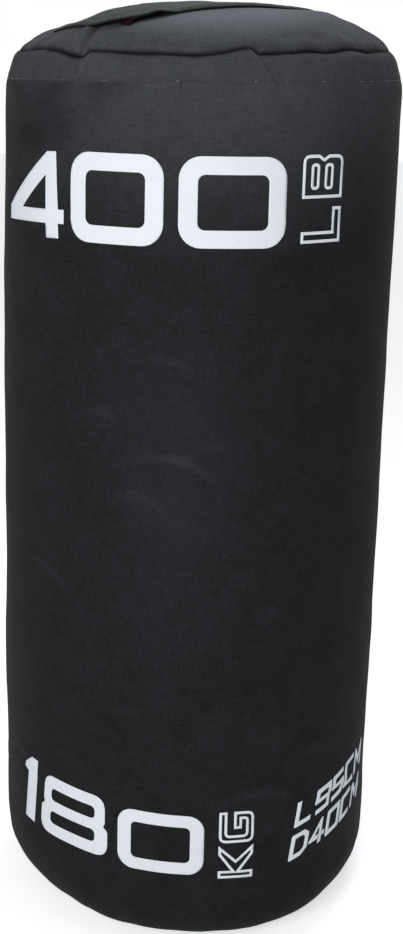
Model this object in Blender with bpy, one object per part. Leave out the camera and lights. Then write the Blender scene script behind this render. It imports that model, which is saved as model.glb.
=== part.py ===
"""A tall round training sandbag with a domed top, a zip closure and a cover flap over it.

Metres, +Z up. The origin is on the floor, at the middle of the base. The front is -Y.
"""

import math

import bmesh
import bpy
from mathutils import Vector

# The bag: a round wall, a rounded lower edge, a rounded shoulder and a shallow crown.
BAG_RADIUS = 0.200
CROWN_HEIGHT = 0.942
CROWN_RADIUS = 0.754
SHOULDER_RADIUS = 0.067
BASE_EDGE_RADIUS = 0.062

# Cloth, gaps and fineness of the faceted surfaces.
CLOTH = 0.0016
SEWN_GAP = 0.0003
INNER_GAP = 0.0005
WELD = 0.000005
CUT_OVERRUN = 0.006
SMOOTH_ANGLE = math.radians(35.0)
ROUND_SIDES = 48
CONTENT_SIDES = 24
SHOULDER_STEPS = 5
BASE_EDGE_STEPS = 4
CROWN_STEP = 0.040
CROWN_STATION = 0.025
SHOULDER_STATION = 0.007

# Seams of the wall: top seam near the brow of the shoulder, base seam tucked under.
TOP_SEAM_SHARE = 0.60
BASE_SEAM_SHARE = 0.72
BINDING_WIDTH = 0.032
BINDING_THICKNESS = 0.0012
SIDE_TAPE_WIDTH = 0.025
SIDE_TAPE_END_GAP = 0.012
BASE_DISC_INSET = 0.010

# Closure: its direction on the crown, and the zip that runs along it, short of the brows.
CLOSURE_TURN = math.radians(50.0)
ZIP_ACROSS = 0.006
ZIP_BROW_GAP = 0.0239
ZIP_TAPE_WIDTH = 0.016
ZIP_TAPE_THICKNESS = 0.0008
ZIP_TAPE_END = 0.009
TOOTH_PITCH = 0.008
TOOTH_LENGTH = 0.0050
TOOTH_ROOT = 0.0010
TOOTH_REACH = 0.0040
TOOTH_THICKNESS = 0.0034
TOOTH_CENTRE_GAP = 0.0008
STOP_LENGTH = 0.003
SLOT_SIDE_GAP = 0.0010
SLOT_END_GAP = 0.002

# Slider and its pull.
SLIDER_LENGTH = 0.022
SLIDER_PLATE = 0.0012
SLIDER_FLANGE = 0.0012
SLIDER_POST = 0.003
RUN_GAP = 0.0003
BRIDGE_OPENING = 0.0014
BRIDGE_BAR = 0.0008
BRIDGE_HALF_WIDTH = 0.0015
BRIDGE_HALF_SPAN = 0.0020
BRIDGE_LEG = 0.0010
PULL_LENGTH = 0.024
PULL_ARM = 0.0009
PULL_EYE_HALF_WIDTH = 0.0034
PULL_EYE_LENGTH = 0.0055
PULL_BAR = 0.0008

# Cover flap, its sewn hem, its hook and loop tapes and its pull tab.
FLAP_HINGE_ACROSS = -0.040
FLAP_EDGE_ACROSS = 0.061
FLAP_END_COVER = 0.0205
FLAP_END_SLANT_SHARE = 0.20
FLAP_SLANT_START = -0.024
FLAP_CORNER = 0.028
FLAP_RISE_WIDTH = 0.020
HEM_WIDTH = 0.012
GRIP_TAPE_WIDTH = 0.026
GRIP_TAPE_EDGE = 0.005
GRIP_TAPE_SHORTER = 0.020
LOOP_THICKNESS = 0.0013
HOOK_THICKNESS = 0.0012
TAB_WIDTH = 0.013
TAB_THICKNESS = 0.0018
TAB_CORNER_GAP = 0.013
TAB_HELD = 0.010
TAB_LOOSE = 0.009

# What the shell holds: the inner liner with its tied neck, and the sand.
LINER_SHEET = 0.0009
LINER_HEADROOM = 0.0010
SAND_GAP = 0.0004
NECK_RADIUS = 0.010
NECK_MOUTH_RADIUS = 0.021
NECK_RISE = 0.026
NECK_FOOT_RADIUS = 0.0165
DISH_RADIUS = 0.056
DISH_FLOOR_RADIUS = 0.034
DISH_DEPTH = 0.032
DISH_BROW_SHARE = 0.25
TIE_WIDTH = 0.006
TIE_THICKNESS = 0.003

# Cloths and parts: colour, roughness and metallic value.
SHELL_BLACK = ((0.012, 0.012, 0.013), 0.75, 0.0)
TOP_GREY = ((0.040, 0.043, 0.050), 0.72, 0.0)
FLAP_GREY = ((0.060, 0.070, 0.066), 0.70, 0.0)
TAPE_BLACK = ((0.010, 0.010, 0.011), 0.85, 0.0)
TAB_RED = ((0.110, 0.012, 0.016), 0.65, 0.0)
TOOTH_BLACK = ((0.016, 0.016, 0.018), 0.35, 0.0)
SLIDER_METAL = ((0.300, 0.300, 0.310), 0.32, 1.0)
LINER_CLEAR = ((0.420, 0.440, 0.460), 0.38, 0.0)
TIE_WHITE = ((0.620, 0.610, 0.570), 0.60, 0.0)
SAND_TAN = ((0.480, 0.360, 0.220), 0.95, 0.0)

# Places that follow from the sizes above.
SHOULDER_CENTRE = BAG_RADIUS - SHOULDER_RADIUS
CROWN_CENTRE_Z = CROWN_HEIGHT - CROWN_RADIUS
CROWN_ANGLE = math.asin(SHOULDER_CENTRE / (CROWN_RADIUS - SHOULDER_RADIUS))
SHOULDER_Z = CROWN_CENTRE_Z + (CROWN_RADIUS - SHOULDER_RADIUS) * math.cos(CROWN_ANGLE)
CROWN_ARC = CROWN_RADIUS * CROWN_ANGLE
SHOULDER_ARC = CROWN_ARC + SHOULDER_RADIUS * (math.pi / 2 - CROWN_ANGLE)
WALL_ARC = SHOULDER_ARC + SHOULDER_Z - BASE_EDGE_RADIUS
BASE_EDGE_ARC = WALL_ARC + BASE_EDGE_RADIUS * math.pi / 2
BASE_ARC = BASE_EDGE_ARC + BAG_RADIUS - BASE_EDGE_RADIUS
TOP_SEAM_ARC = CROWN_ARC + TOP_SEAM_SHARE * (SHOULDER_ARC - CROWN_ARC)
BASE_SEAM_ARC = WALL_ARC + BASE_SEAM_SHARE * (BASE_EDGE_ARC - WALL_ARC)

TAPE_TOP = -CLOTH - INNER_GAP
TAPE_FOOT = TAPE_TOP - ZIP_TAPE_THICKNESS
TOOTH_TOP = (TAPE_TOP + TAPE_FOOT + TOOTH_THICKNESS) / 2
TOOTH_FOOT = TOOTH_TOP - TOOTH_THICKNESS
TOOTH_OUTER = TOOTH_CENTRE_GAP + TOOTH_REACH
TEETH_HALF = CROWN_ARC - ZIP_BROW_GAP
STOP_START = TEETH_HALF + RUN_GAP
SLOT_HALF = STOP_START + STOP_LENGTH + SLOT_END_GAP
TAPE_HALF = SLOT_HALF + ZIP_TAPE_END

SLIDER_UNDER = TOOTH_FOOT - RUN_GAP
SLIDER_FOOT = SLIDER_UNDER - SLIDER_PLATE
SLIDER_OVER = TOOTH_TOP + RUN_GAP
SLIDER_TOP = SLIDER_OVER + SLIDER_PLATE
SLIDER_INNER = TOOTH_OUTER + RUN_GAP
SLIDER_HALF_WIDTH = SLIDER_INNER + SLIDER_FLANGE
SLOT_HALF_WIDTH = SLIDER_HALF_WIDTH + SLOT_SIDE_GAP
BRIDGE_UNDER = SLIDER_TOP + BRIDGE_OPENING
BRIDGE_TOP = BRIDGE_UNDER + BRIDGE_BAR
SLIDER_ALONG = SLIDER_LENGTH / 2 - TEETH_HALF
PULL_FOOT = SLIDER_TOP + RUN_GAP
PULL_TOP = BRIDGE_UNDER - RUN_GAP

LOOP_TOP = SEWN_GAP + LOOP_THICKNESS
HOOK_TOP = LOOP_TOP + SEWN_GAP + HOOK_THICKNESS
FLAP_UNDER = max(BRIDGE_TOP, HOOK_TOP) + SEWN_GAP
FLAP_HALF = TAPE_HALF + FLAP_END_COVER
GRIP_TAPE_HALF = SLOT_HALF - GRIP_TAPE_SHORTER / 2
GRIP_TAPE_OUTER = FLAP_EDGE_ACROSS - GRIP_TAPE_EDGE
TAB_OUTER = FLAP_EDGE_ACROSS - TAB_CORNER_GAP
HEM_TOP = SEWN_GAP + CLOTH

BINDING_TOP = -CLOTH - INNER_GAP
BINDING_FOOT = BINDING_TOP - BINDING_THICKNESS
LINER_OUTSIDE = BINDING_FOOT - INNER_GAP
LINER_CROWN = SLIDER_FOOT - LINER_HEADROOM

ALONG = Vector((math.cos(CLOSURE_TURN), math.sin(CLOSURE_TURN), 0.0))
ACROSS = Vector((math.sin(CLOSURE_TURN), -math.cos(CLOSURE_TURN), 0.0))
UP = Vector((0.0, 0.0, 1.0))


def skin_point(arc, lift):
    """Radius and height of the skin at a distance down it from the crown's top, lifted off it."""
    if arc <= CROWN_ARC:
        angle = arc / CROWN_RADIUS
        reach = CROWN_RADIUS + lift
        return reach * math.sin(angle), CROWN_CENTRE_Z + reach * math.cos(angle)
    if arc <= SHOULDER_ARC:
        angle = CROWN_ANGLE + (arc - CROWN_ARC) / SHOULDER_RADIUS
        reach = SHOULDER_RADIUS + lift
        return SHOULDER_CENTRE + reach * math.sin(angle), SHOULDER_Z + reach * math.cos(angle)
    if arc <= WALL_ARC:
        return BAG_RADIUS + lift, SHOULDER_Z - (arc - SHOULDER_ARC)
    if arc <= BASE_EDGE_ARC:
        angle = (arc - WALL_ARC) / BASE_EDGE_RADIUS
        reach = BASE_EDGE_RADIUS + lift
        centre = BAG_RADIUS - BASE_EDGE_RADIUS
        return centre + reach * math.cos(angle), BASE_EDGE_RADIUS - reach * math.sin(angle)
    return BASE_ARC - arc, -lift


def spread(start, end, count):
    """Evenly spaced values from start to end, both included."""
    return [start + (end - start) * step / count for step in range(count + 1)]


def skin_stations():
    """Distances down the skin shared by all its layers, so that their facets lie side by side."""
    places = spread(0.0, CROWN_ARC, math.ceil(CROWN_ARC / CROWN_STEP))
    places += spread(CROWN_ARC, SHOULDER_ARC, SHOULDER_STEPS)
    places += spread(WALL_ARC, BASE_EDGE_ARC, BASE_EDGE_STEPS) + [BASE_ARC]
    for seam in (TOP_SEAM_ARC, BASE_SEAM_ARC):
        places += [seam - BINDING_WIDTH / 2, seam, seam + BINDING_WIDTH / 2]
    stations = []
    for place in sorted(places):
        if not stations or place - stations[-1] > INNER_GAP:
            stations.append(place)
    return stations


def skin_arcs(start, end):
    """Distances down the skin at which an outline from start to end has its points."""
    inner = [arc for arc in skin_stations() if start + INNER_GAP < arc < end - INNER_GAP]
    return [start] + inner + [end]


def skin_line(start, end, lift):
    """Outline points along the skin, at one lift."""
    return [skin_point(arc, lift) for arc in skin_arcs(start, end)]


def on_crown(along, across, lift):
    """Point over the domed top, placed by its distances along and across the closure."""
    belt = math.sqrt(CROWN_RADIUS ** 2 - across ** 2)
    turn = along / CROWN_RADIUS
    flat = ALONG * (belt * math.sin(turn)) + ACROSS * across
    arc = CROWN_RADIUS * math.asin(flat.length / CROWN_RADIUS)
    radius, height = skin_point(arc, lift)
    return flat.normalized() * radius + UP * height


def material(name, finish):
    """Principled material of the given colour, roughness and metallic value."""
    colour, roughness, metallic = finish
    made = bpy.data.materials.new(name)
    made.use_nodes = True
    shader = made.node_tree.nodes["Principled BSDF"]
    shader.inputs["Base Color"].default_value = (*colour, 1.0)
    shader.inputs["Roughness"].default_value = roughness
    shader.inputs["Metallic"].default_value = metallic
    return made


def add_piece(name, shape, finish, pivot=None):
    """Object made from a closed bmesh in world places, set on its pivot when it has one."""
    bmesh.ops.remove_doubles(shape, verts=shape.verts, dist=WELD)
    bmesh.ops.recalc_face_normals(shape, faces=shape.faces)
    if pivot is not None:
        bmesh.ops.translate(shape, verts=shape.verts, vec=-pivot.matrix_world.translation)
    mesh = bpy.data.meshes.new(name)
    shape.to_mesh(mesh)
    shape.free()
    mesh.shade_smooth()
    mesh.set_sharp_from_angle(angle=SMOOTH_ANGLE)
    piece = bpy.data.objects.new(name, mesh)
    piece.data.materials.append(material(name + "_finish", finish))
    bpy.context.scene.collection.objects.link(piece)
    piece.parent = pivot
    return piece


def add_pivot(name, place, parent=None):
    """Empty on a joint's axis, which carries the pieces that turn about it."""
    pivot = bpy.data.objects.new(name, None)
    pivot.location = place if parent is None else place - parent.matrix_world.translation
    pivot.parent = parent
    bpy.context.scene.collection.objects.link(pivot)
    bpy.context.view_layer.update()
    return pivot


def turned(name, outline, finish, closed=True, sides=ROUND_SIDES):
    """Piece turned round the bag's axis from an outline of radius and height."""
    shape = bmesh.new()
    points = [shape.verts.new((radius, 0.0, height)) for radius, height in outline]
    ends = points[1:] + points[:1] if closed else points[1:]
    lines = [shape.edges.new(pair) for pair in zip(points, ends)]
    bmesh.ops.spin(shape, geom=points + lines, cent=(0.0, 0.0, 0.0), axis=UP,
                   angle=math.tau, steps=sides, use_merge=True)
    return add_piece(name, shape, finish)


def fill_cells(shape, lines, place, keep=None):
    """Close the kept cells of a box grid into a skin, with each corner put in place."""
    corners = {}
    counts = [len(line) - 1 for line in lines]

    def corner(index):
        if index not in corners:
            corners[index] = shape.verts.new(place(*(line[i] for line, i in zip(lines, index))))
        return corners[index]

    def kept(cell):
        if any(i < 0 or i >= count for i, count in zip(cell, counts)):
            return False
        return keep is None or keep(*((line[i] + line[i + 1]) / 2 for line, i in zip(lines, cell)))

    for cell in [(i, j, k) for i in range(counts[0]) for j in range(counts[1]) for k in range(counts[2])]:
        if not kept(cell):
            continue
        for way in range(3):
            for step in (0, 1):
                beside = list(cell)
                beside[way] += 2 * step - 1
                if kept(tuple(beside)):
                    continue
                ring = []
                for one, two in ((0, 0), (1, 0), (1, 1), (0, 1)):
                    index = list(cell)
                    index[way] += step
                    index[(way + 1) % 3] += one
                    index[(way + 2) % 3] += two
                    ring.append(corner(tuple(index)))
                shape.faces.new(ring if step else ring[::-1])


def crown_stations(half):
    """Places along the closure, closer together where the dome bends down at the shoulder."""
    flat = min(half, CROWN_ARC - CROWN_STATION)
    middle = spread(-flat, flat, 2 * math.ceil(flat / CROWN_STATION))
    if half <= flat:
        return middle
    outer = spread(flat, half, math.ceil((half - flat) / SHOULDER_STATION))[1:]
    return [-place for place in reversed(outer)] + middle + outer


def crown_block(name, along, across, lifts, finish, pivot=None, keep=None):
    """Piece that follows the crown, from its grid lines along, across and off it."""
    shape = bmesh.new()
    fill_cells(shape, (along, across, lifts), on_crown, keep)
    return add_piece(name, shape, finish, pivot)


def side_panel():
    start, end = TOP_SEAM_ARC + SEWN_GAP / 2, BASE_SEAM_ARC - SEWN_GAP / 2
    outline = skin_line(start, end, 0.0) + skin_line(start, end, -CLOTH)[::-1]
    turned("side_panel", outline, SHELL_BLACK)


def top_panel():
    """Domed round panel with the slot that the zip closes."""
    end = TOP_SEAM_ARC - SEWN_GAP / 2
    outline = skin_line(0.0, end, 0.0) + skin_line(0.0, end, -CLOTH)[::-1]
    panel = turned("top_panel", outline, TOP_GREY, closed=False)
    across = [ZIP_ACROSS - SLOT_HALF_WIDTH, ZIP_ACROSS + SLOT_HALF_WIDTH]
    lifts = [-CLOTH - CUT_OVERRUN, CUT_OVERRUN]
    cutter = crown_block("slot_cutter", crown_stations(SLOT_HALF), across, lifts, TOP_GREY)
    cutter.hide_render = True
    cutter.display_type = "WIRE"
    slot = panel.modifiers.new("zip_slot", "BOOLEAN")
    slot.operation = "DIFFERENCE"
    slot.solver = "EXACT"
    slot.object = cutter


def base_panel():
    start = BASE_SEAM_ARC + SEWN_GAP / 2
    outline = skin_line(start, BASE_ARC, -CLOTH)[::-1] + skin_line(start, BASE_ARC, 0.0)
    turned("base_panel", outline, SHELL_BLACK, closed=False)


def seam_bindings():
    """Bands inside the shell that cover the raw edges of the two round seams."""
    for name, seam in (("top_seam_binding", TOP_SEAM_ARC), ("base_seam_binding", BASE_SEAM_ARC)):
        start, end = seam - BINDING_WIDTH / 2, seam + BINDING_WIDTH / 2
        outline = skin_line(start, end, BINDING_TOP) + skin_line(start, end, BINDING_FOOT)[::-1]
        turned(name, outline, TAPE_BLACK)


def side_seam_tape():
    """Tape inside the back of the wall, over its upright seam, between the two bindings."""
    shape = bmesh.new()
    low = BASE_EDGE_RADIUS + SIDE_TAPE_END_GAP
    high = SHOULDER_Z - SIDE_TAPE_END_GAP
    half = SIDE_TAPE_WIDTH / 2 / BAG_RADIUS
    turns = [math.pi / 2 + turn for turn in (-half, 0.0, half)]
    reaches = [BAG_RADIUS + BINDING_FOOT, BAG_RADIUS + BINDING_TOP]

    def place(turn, height, reach):
        return Vector((reach * math.cos(turn), reach * math.sin(turn), height))

    fill_cells(shape, (turns, [low, high], reaches), place)
    add_piece("side_seam_tape", shape, TAPE_BLACK)


def base_reinforcement():
    """Second round of cloth on the inside of the base."""
    reach = BAG_RADIUS - BASE_EDGE_RADIUS - BASE_DISC_INSET
    foot = CLOTH + SEWN_GAP
    outline = [(0.0, foot), (reach, foot), (reach, foot + CLOTH), (0.0, foot + CLOTH)]
    turned("base_reinforcement", outline, TAPE_BLACK, closed=False)


def zip_sides():
    """Sign and name of each side of the zip, across the closure."""
    return ((-1, "hinge_side"), (1, "edge_side"))


def zip_tapes():
    stations = crown_stations(TAPE_HALF)
    for side, name in zip_sides():
        inner = ZIP_ACROSS + side * (TOOTH_OUTER + SEWN_GAP)
        outer = ZIP_ACROSS + side * (TOOTH_OUTER + ZIP_TAPE_WIDTH)
        crown_block("zip_tape_" + name, stations, sorted((inner, outer)), [TAPE_FOOT, TAPE_TOP], TAPE_BLACK)


def zip_teeth():
    """A row of moulded teeth on each tape, joined at their roots and set half a pitch apart."""
    count = int(2 * TEETH_HALF / TOOTH_PITCH)
    for side, name in zip_sides():
        shift = (1 + side / 2 - count) / 2 * TOOTH_PITCH
        middles = [tooth * TOOTH_PITCH + shift for tooth in range(count)]
        along = [-TEETH_HALF, TEETH_HALF]
        for middle in middles:
            along += [middle - TOOTH_LENGTH / 2, middle + TOOTH_LENGTH / 2]
        root = TOOTH_OUTER - TOOTH_ROOT
        across = sorted(ZIP_ACROSS + side * edge for edge in (TOOTH_CENTRE_GAP, root, TOOTH_OUTER))

        def keep(place_along, place_across, lift):
            in_root = abs(place_across - ZIP_ACROSS) > root
            return in_root or any(abs(place_along - middle) < TOOTH_LENGTH / 2 for middle in middles)

        lifts = [TOOTH_FOOT, TOOTH_TOP]
        crown_block("zip_teeth_" + name, sorted(along), across, lifts, TOOTH_BLACK, keep=keep)


def zip_stops():
    """A stop on each tape at the closed end, and one across both at the open end."""
    along = [-STOP_START - STOP_LENGTH, -STOP_START]
    lifts = [TOOTH_FOOT, TOOTH_TOP]
    for side, name in zip_sides():
        across = sorted(ZIP_ACROSS + side * edge for edge in (TOOTH_CENTRE_GAP, TOOTH_OUTER))
        crown_block("zip_closed_stop_" + name, along, across, lifts, SLIDER_METAL)
    across = [ZIP_ACROSS - TOOTH_OUTER, ZIP_ACROSS + TOOTH_OUTER]
    crown_block("zip_open_stop", [STOP_START, STOP_START + STOP_LENGTH], across, lifts, SLIDER_METAL)


def zip_slider(pivot):
    """Upper and lower plates joined by a post, with flanges beside the teeth and a bridge on top."""
    post_edge = SLIDER_LENGTH / 2 - SLIDER_POST
    post_half = TOOTH_CENTRE_GAP - RUN_GAP
    legs = [BRIDGE_HALF_SPAN, BRIDGE_HALF_SPAN + BRIDGE_LEG]
    along = [-SLIDER_LENGTH / 2, -post_edge, -legs[1], -legs[0], legs[0], legs[1], SLIDER_LENGTH / 2]
    sides = [SLIDER_HALF_WIDTH, SLIDER_INNER, BRIDGE_HALF_WIDTH, post_half]
    across = [-side for side in sides] + sides[::-1]
    lifts = [SLIDER_FOOT, SLIDER_UNDER, TAPE_FOOT - RUN_GAP, TAPE_TOP + RUN_GAP, SLIDER_OVER,
             SLIDER_TOP, BRIDGE_UNDER, BRIDGE_TOP]

    def keep(place_along, place_across, lift):
        forward, side = place_along - SLIDER_ALONG, abs(place_across - ZIP_ACROSS)
        if lift > SLIDER_TOP:
            over_legs = abs(forward) < legs[1] and side < BRIDGE_HALF_WIDTH
            return over_legs and (lift > BRIDGE_UNDER or abs(forward) > legs[0])
        if lift > SLIDER_OVER or lift < SLIDER_UNDER:
            return True
        beside_tape = lift > TAPE_TOP + RUN_GAP or lift < TAPE_FOOT - RUN_GAP
        in_post = side < post_half and forward < -post_edge
        return in_post or (side > SLIDER_INNER and beside_tape)

    crown_block("zip_slider", [SLIDER_ALONG + place for place in along],
                [ZIP_ACROSS + place for place in across], lifts, SLIDER_METAL, pivot, keep)


def zip_pull(pivot):
    """Flat tab whose square eye is held under the slider's bridge."""
    eye = [-PULL_EYE_LENGTH, -PULL_BAR / 2, PULL_BAR / 2]
    along = [SLIDER_ALONG + place for place in [-PULL_LENGTH] + eye]
    wide = PULL_EYE_HALF_WIDTH + PULL_ARM
    sides = [-wide, -PULL_EYE_HALF_WIDTH, PULL_EYE_HALF_WIDTH, wide]
    across = [ZIP_ACROSS + side for side in sides]

    def keep(place_along, place_across, lift):
        forward, side = place_along - SLIDER_ALONG, abs(place_across - ZIP_ACROSS)
        in_eye = side < PULL_EYE_HALF_WIDTH and -PULL_EYE_LENGTH < forward < -PULL_BAR / 2
        return not in_eye

    crown_block("zip_pull", along, across, [PULL_FOOT, PULL_TOP], SLIDER_METAL, pivot, keep)


def flap_setback(across):
    """How far the flap's end stands back from its full length, by its slant and round corner."""
    slant = FLAP_END_SLANT_SHARE * max(0.0, across - FLAP_SLANT_START)
    past = max(0.0, across - (FLAP_EDGE_ACROSS - FLAP_CORNER))
    return slant + FLAP_CORNER - math.sqrt(max(0.0, FLAP_CORNER ** 2 - past ** 2))


def flap_rise(across):
    """Height of the flap's underside: down on the dome at the hinge, clear of the zip beyond."""
    share = min(1.0, (across - FLAP_HINGE_ACROSS) / FLAP_RISE_WIDTH)
    smooth = share * share * (3 - 2 * share)
    return SEWN_GAP + smooth * (FLAP_UNDER - SEWN_GAP)


def closure_flap(pivot):
    """Cloth flap over the zip, free at its long edge and its two ends."""
    hinge = FLAP_HINGE_ACROSS + SEWN_GAP / 2
    rise = spread(hinge, FLAP_HINGE_ACROSS + FLAP_RISE_WIDTH, 3)
    middle = spread(rise[-1], FLAP_EDGE_ACROSS - FLAP_CORNER, 2)[1:]
    corner_turns = spread(0.0, math.pi / 2, 5)[1:]
    corner = [FLAP_EDGE_ACROSS - FLAP_CORNER * (1 - math.sin(turn)) for turn in corner_turns]

    def place(along, across, layer):
        shorter = (FLAP_HALF - flap_setback(across)) / FLAP_HALF
        return on_crown(along * shorter, across, flap_rise(across) + layer)

    shape = bmesh.new()
    fill_cells(shape, (crown_stations(FLAP_HALF), rise + middle + corner, [0.0, CLOTH]), place)
    add_piece("closure_flap", shape, FLAP_GREY, pivot)


def flap_hem():
    """Sewn edge of the flap, fixed to the dome behind the fold."""
    across = [FLAP_HINGE_ACROSS - HEM_WIDTH, FLAP_HINGE_ACROSS - SEWN_GAP / 2]
    crown_block("flap_hem", crown_stations(FLAP_HALF), across, [SEWN_GAP, HEM_TOP], FLAP_GREY)


def grip_tapes(pivot):
    """Loop tape on the dome and hook tape under the flap, one over the other."""
    stations = crown_stations(GRIP_TAPE_HALF)
    across = [GRIP_TAPE_OUTER - GRIP_TAPE_WIDTH, GRIP_TAPE_OUTER]
    crown_block("loop_tape", stations, across, [SEWN_GAP, LOOP_TOP], TAPE_BLACK)
    hook = [FLAP_UNDER - SEWN_GAP - HOOK_THICKNESS, FLAP_UNDER - SEWN_GAP]
    crown_block("hook_tape", stations, across, hook, TAPE_BLACK, pivot)


def flap_pull_tab(pivot):
    """Folded ribbon under the flap's front corner, to lift it by."""
    edge = FLAP_HALF - flap_setback(TAB_OUTER - TAB_WIDTH / 2)
    along = spread(-edge - TAB_LOOSE, -edge + TAB_HELD, 3)
    lifts = [FLAP_UNDER - SEWN_GAP - TAB_THICKNESS, FLAP_UNDER - SEWN_GAP]
    crown_block("flap_pull_tab", along, [TAB_OUTER - TAB_WIDTH, TAB_OUTER], lifts, TAB_RED, pivot)


def dish_line(depth):
    """Outline of the dish round the neck, from its rim in to its floor, some depth below the liner."""
    rim = skin_point(DISH_RADIUS, LINER_CROWN)[1] - depth
    slope_radius = (DISH_RADIUS + DISH_FLOOR_RADIUS) / 2
    return [(slope_radius, rim - DISH_BROW_SHARE * DISH_DEPTH), (DISH_FLOOR_RADIUS, rim - DISH_DEPTH)]


def content_line(outside, crown):
    """Outline of what fills the shell, from the dish's rim down: lower under the crown."""
    arcs = skin_arcs(DISH_RADIUS, BASE_ARC)
    return [skin_point(arc, crown if arc <= CROWN_ARC else outside) for arc in arcs]


def inner_liner():
    """Liner sack that holds the sand, gathered into a neck in a dish under the zip."""
    floor = dish_line(0.0)[-1][1]
    tie = floor + (NECK_RISE - TIE_WIDTH) / 2
    neck = [(NECK_FOOT_RADIUS, floor), (NECK_RADIUS, tie), (NECK_RADIUS, tie + TIE_WIDTH),
            (NECK_MOUTH_RADIUS, floor + NECK_RISE)]
    lining = [(radius - LINER_SHEET, height) for radius, height in neck]
    lining[0] = (lining[0][0], floor - LINER_SHEET)
    outside = content_line(LINER_OUTSIDE, LINER_CROWN)
    inside = content_line(LINER_OUTSIDE - LINER_SHEET, LINER_CROWN - LINER_SHEET)
    outline = outside[::-1] + dish_line(0.0) + neck
    outline += lining[::-1] + dish_line(LINER_SHEET)[::-1] + inside
    turned("inner_liner", outline, LINER_CLEAR, closed=False, sides=CONTENT_SIDES)


def liner_tie():
    """Cord wound round the liner's neck."""
    floor = dish_line(0.0)[-1][1]
    foot = floor + (NECK_RISE - TIE_WIDTH) / 2 + SEWN_GAP
    inner = NECK_RADIUS + SEWN_GAP
    middle = inner + TIE_THICKNESS / 2
    high = foot + TIE_WIDTH - 2 * SEWN_GAP
    outline = [(inner, foot), (middle, foot), (inner + TIE_THICKNESS, (foot + high) / 2),
               (middle, high), (inner, high)]
    turned("liner_tie", outline, TIE_WHITE, sides=CONTENT_SIDES)


def sand_fill():
    """Packed dry sand, up to the liner all round."""
    depth = LINER_SHEET + SAND_GAP
    skin = content_line(LINER_OUTSIDE - depth, LINER_CROWN - depth)
    dish = dish_line(depth)[::-1]
    outline = [(0.0, dish[0][1])] + dish + skin
    turned("sand_fill", outline, SAND_TAN, closed=False, sides=CONTENT_SIDES)


def build():
    for leftover in list(bpy.data.objects):
        bpy.data.objects.remove(leftover, do_unlink=True)
    flap_pivot = add_pivot("flap_pivot", on_crown(0.0, FLAP_HINGE_ACROSS, HEM_TOP))
    slider_pivot = add_pivot("slider_pivot", UP * CROWN_CENTRE_Z)
    pull_pivot = add_pivot("pull_pivot", on_crown(SLIDER_ALONG, ZIP_ACROSS, PULL_FOOT), slider_pivot)
    side_panel()
    top_panel()
    base_panel()
    seam_bindings()
    side_seam_tape()
    base_reinforcement()
    zip_tapes()
    zip_teeth()
    zip_stops()
    zip_slider(slider_pivot)
    zip_pull(pull_pivot)
    closure_flap(flap_pivot)
    flap_hem()
    grip_tapes(flap_pivot)
    flap_pull_tab(flap_pivot)
    inner_liner()
    liner_tie()
    sand_fill()


build()
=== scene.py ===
from math import asin, atan2, ceil, cos, degrees, exp, hypot, pi, radians, sin, sqrt, tan, tau

import bmesh
import bpy
from mathutils import Matrix, Vector, noise


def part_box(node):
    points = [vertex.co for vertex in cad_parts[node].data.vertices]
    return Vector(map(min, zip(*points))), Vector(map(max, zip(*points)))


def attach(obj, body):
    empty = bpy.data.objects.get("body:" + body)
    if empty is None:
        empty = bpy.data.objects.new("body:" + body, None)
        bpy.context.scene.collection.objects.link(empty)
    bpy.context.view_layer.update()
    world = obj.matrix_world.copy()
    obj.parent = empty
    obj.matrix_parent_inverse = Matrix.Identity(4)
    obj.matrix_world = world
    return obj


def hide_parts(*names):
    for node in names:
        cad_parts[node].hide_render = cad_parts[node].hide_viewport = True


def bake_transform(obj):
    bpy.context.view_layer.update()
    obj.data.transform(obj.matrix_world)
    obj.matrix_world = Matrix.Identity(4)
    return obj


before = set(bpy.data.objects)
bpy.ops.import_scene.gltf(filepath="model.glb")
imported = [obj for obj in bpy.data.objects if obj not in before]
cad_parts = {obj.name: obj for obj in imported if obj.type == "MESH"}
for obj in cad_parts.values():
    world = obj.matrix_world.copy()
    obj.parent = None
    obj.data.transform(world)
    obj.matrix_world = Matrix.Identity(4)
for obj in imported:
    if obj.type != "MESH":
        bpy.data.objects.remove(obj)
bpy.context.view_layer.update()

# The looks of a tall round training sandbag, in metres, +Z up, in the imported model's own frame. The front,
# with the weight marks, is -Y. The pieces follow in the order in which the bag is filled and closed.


# Camera. It stands about a metre and a half in front of the bag's axis, near the height of its top, and
# looks down a little. The focal length is in pixels of a picture 934 pixels tall.
CAMERA_PLACE = Vector((0.0, -1.4871, 0.8947))
CAMERA_DOWN = radians(16.0)
CAMERA_RIGHT = radians(0.33)
CAMERA_ROLL = radians(1.22)
FOCAL_PIXELS = 1430.3
PICTURE_HEIGHT = 934
SENSOR = 36.0


def add_object(name, data):
    """New object in the scene, at the origin."""
    thing = bpy.data.objects.new(name, data)
    bpy.context.scene.collection.objects.link(thing)
    return thing


camera = add_object("camera", bpy.data.cameras.new("camera"))
camera.data.sensor_width = SENSOR
camera.data.lens = SENSOR * FOCAL_PIXELS / PICTURE_HEIGHT
aim = Matrix.Rotation(-CAMERA_RIGHT, 4, "Z") @ Matrix.Rotation(pi / 2 - CAMERA_DOWN, 4, "X")
camera.matrix_world = Matrix.Translation(CAMERA_PLACE) @ aim @ Matrix.Rotation(CAMERA_ROLL, 4, "Z")
bpy.context.scene.camera = camera


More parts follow.
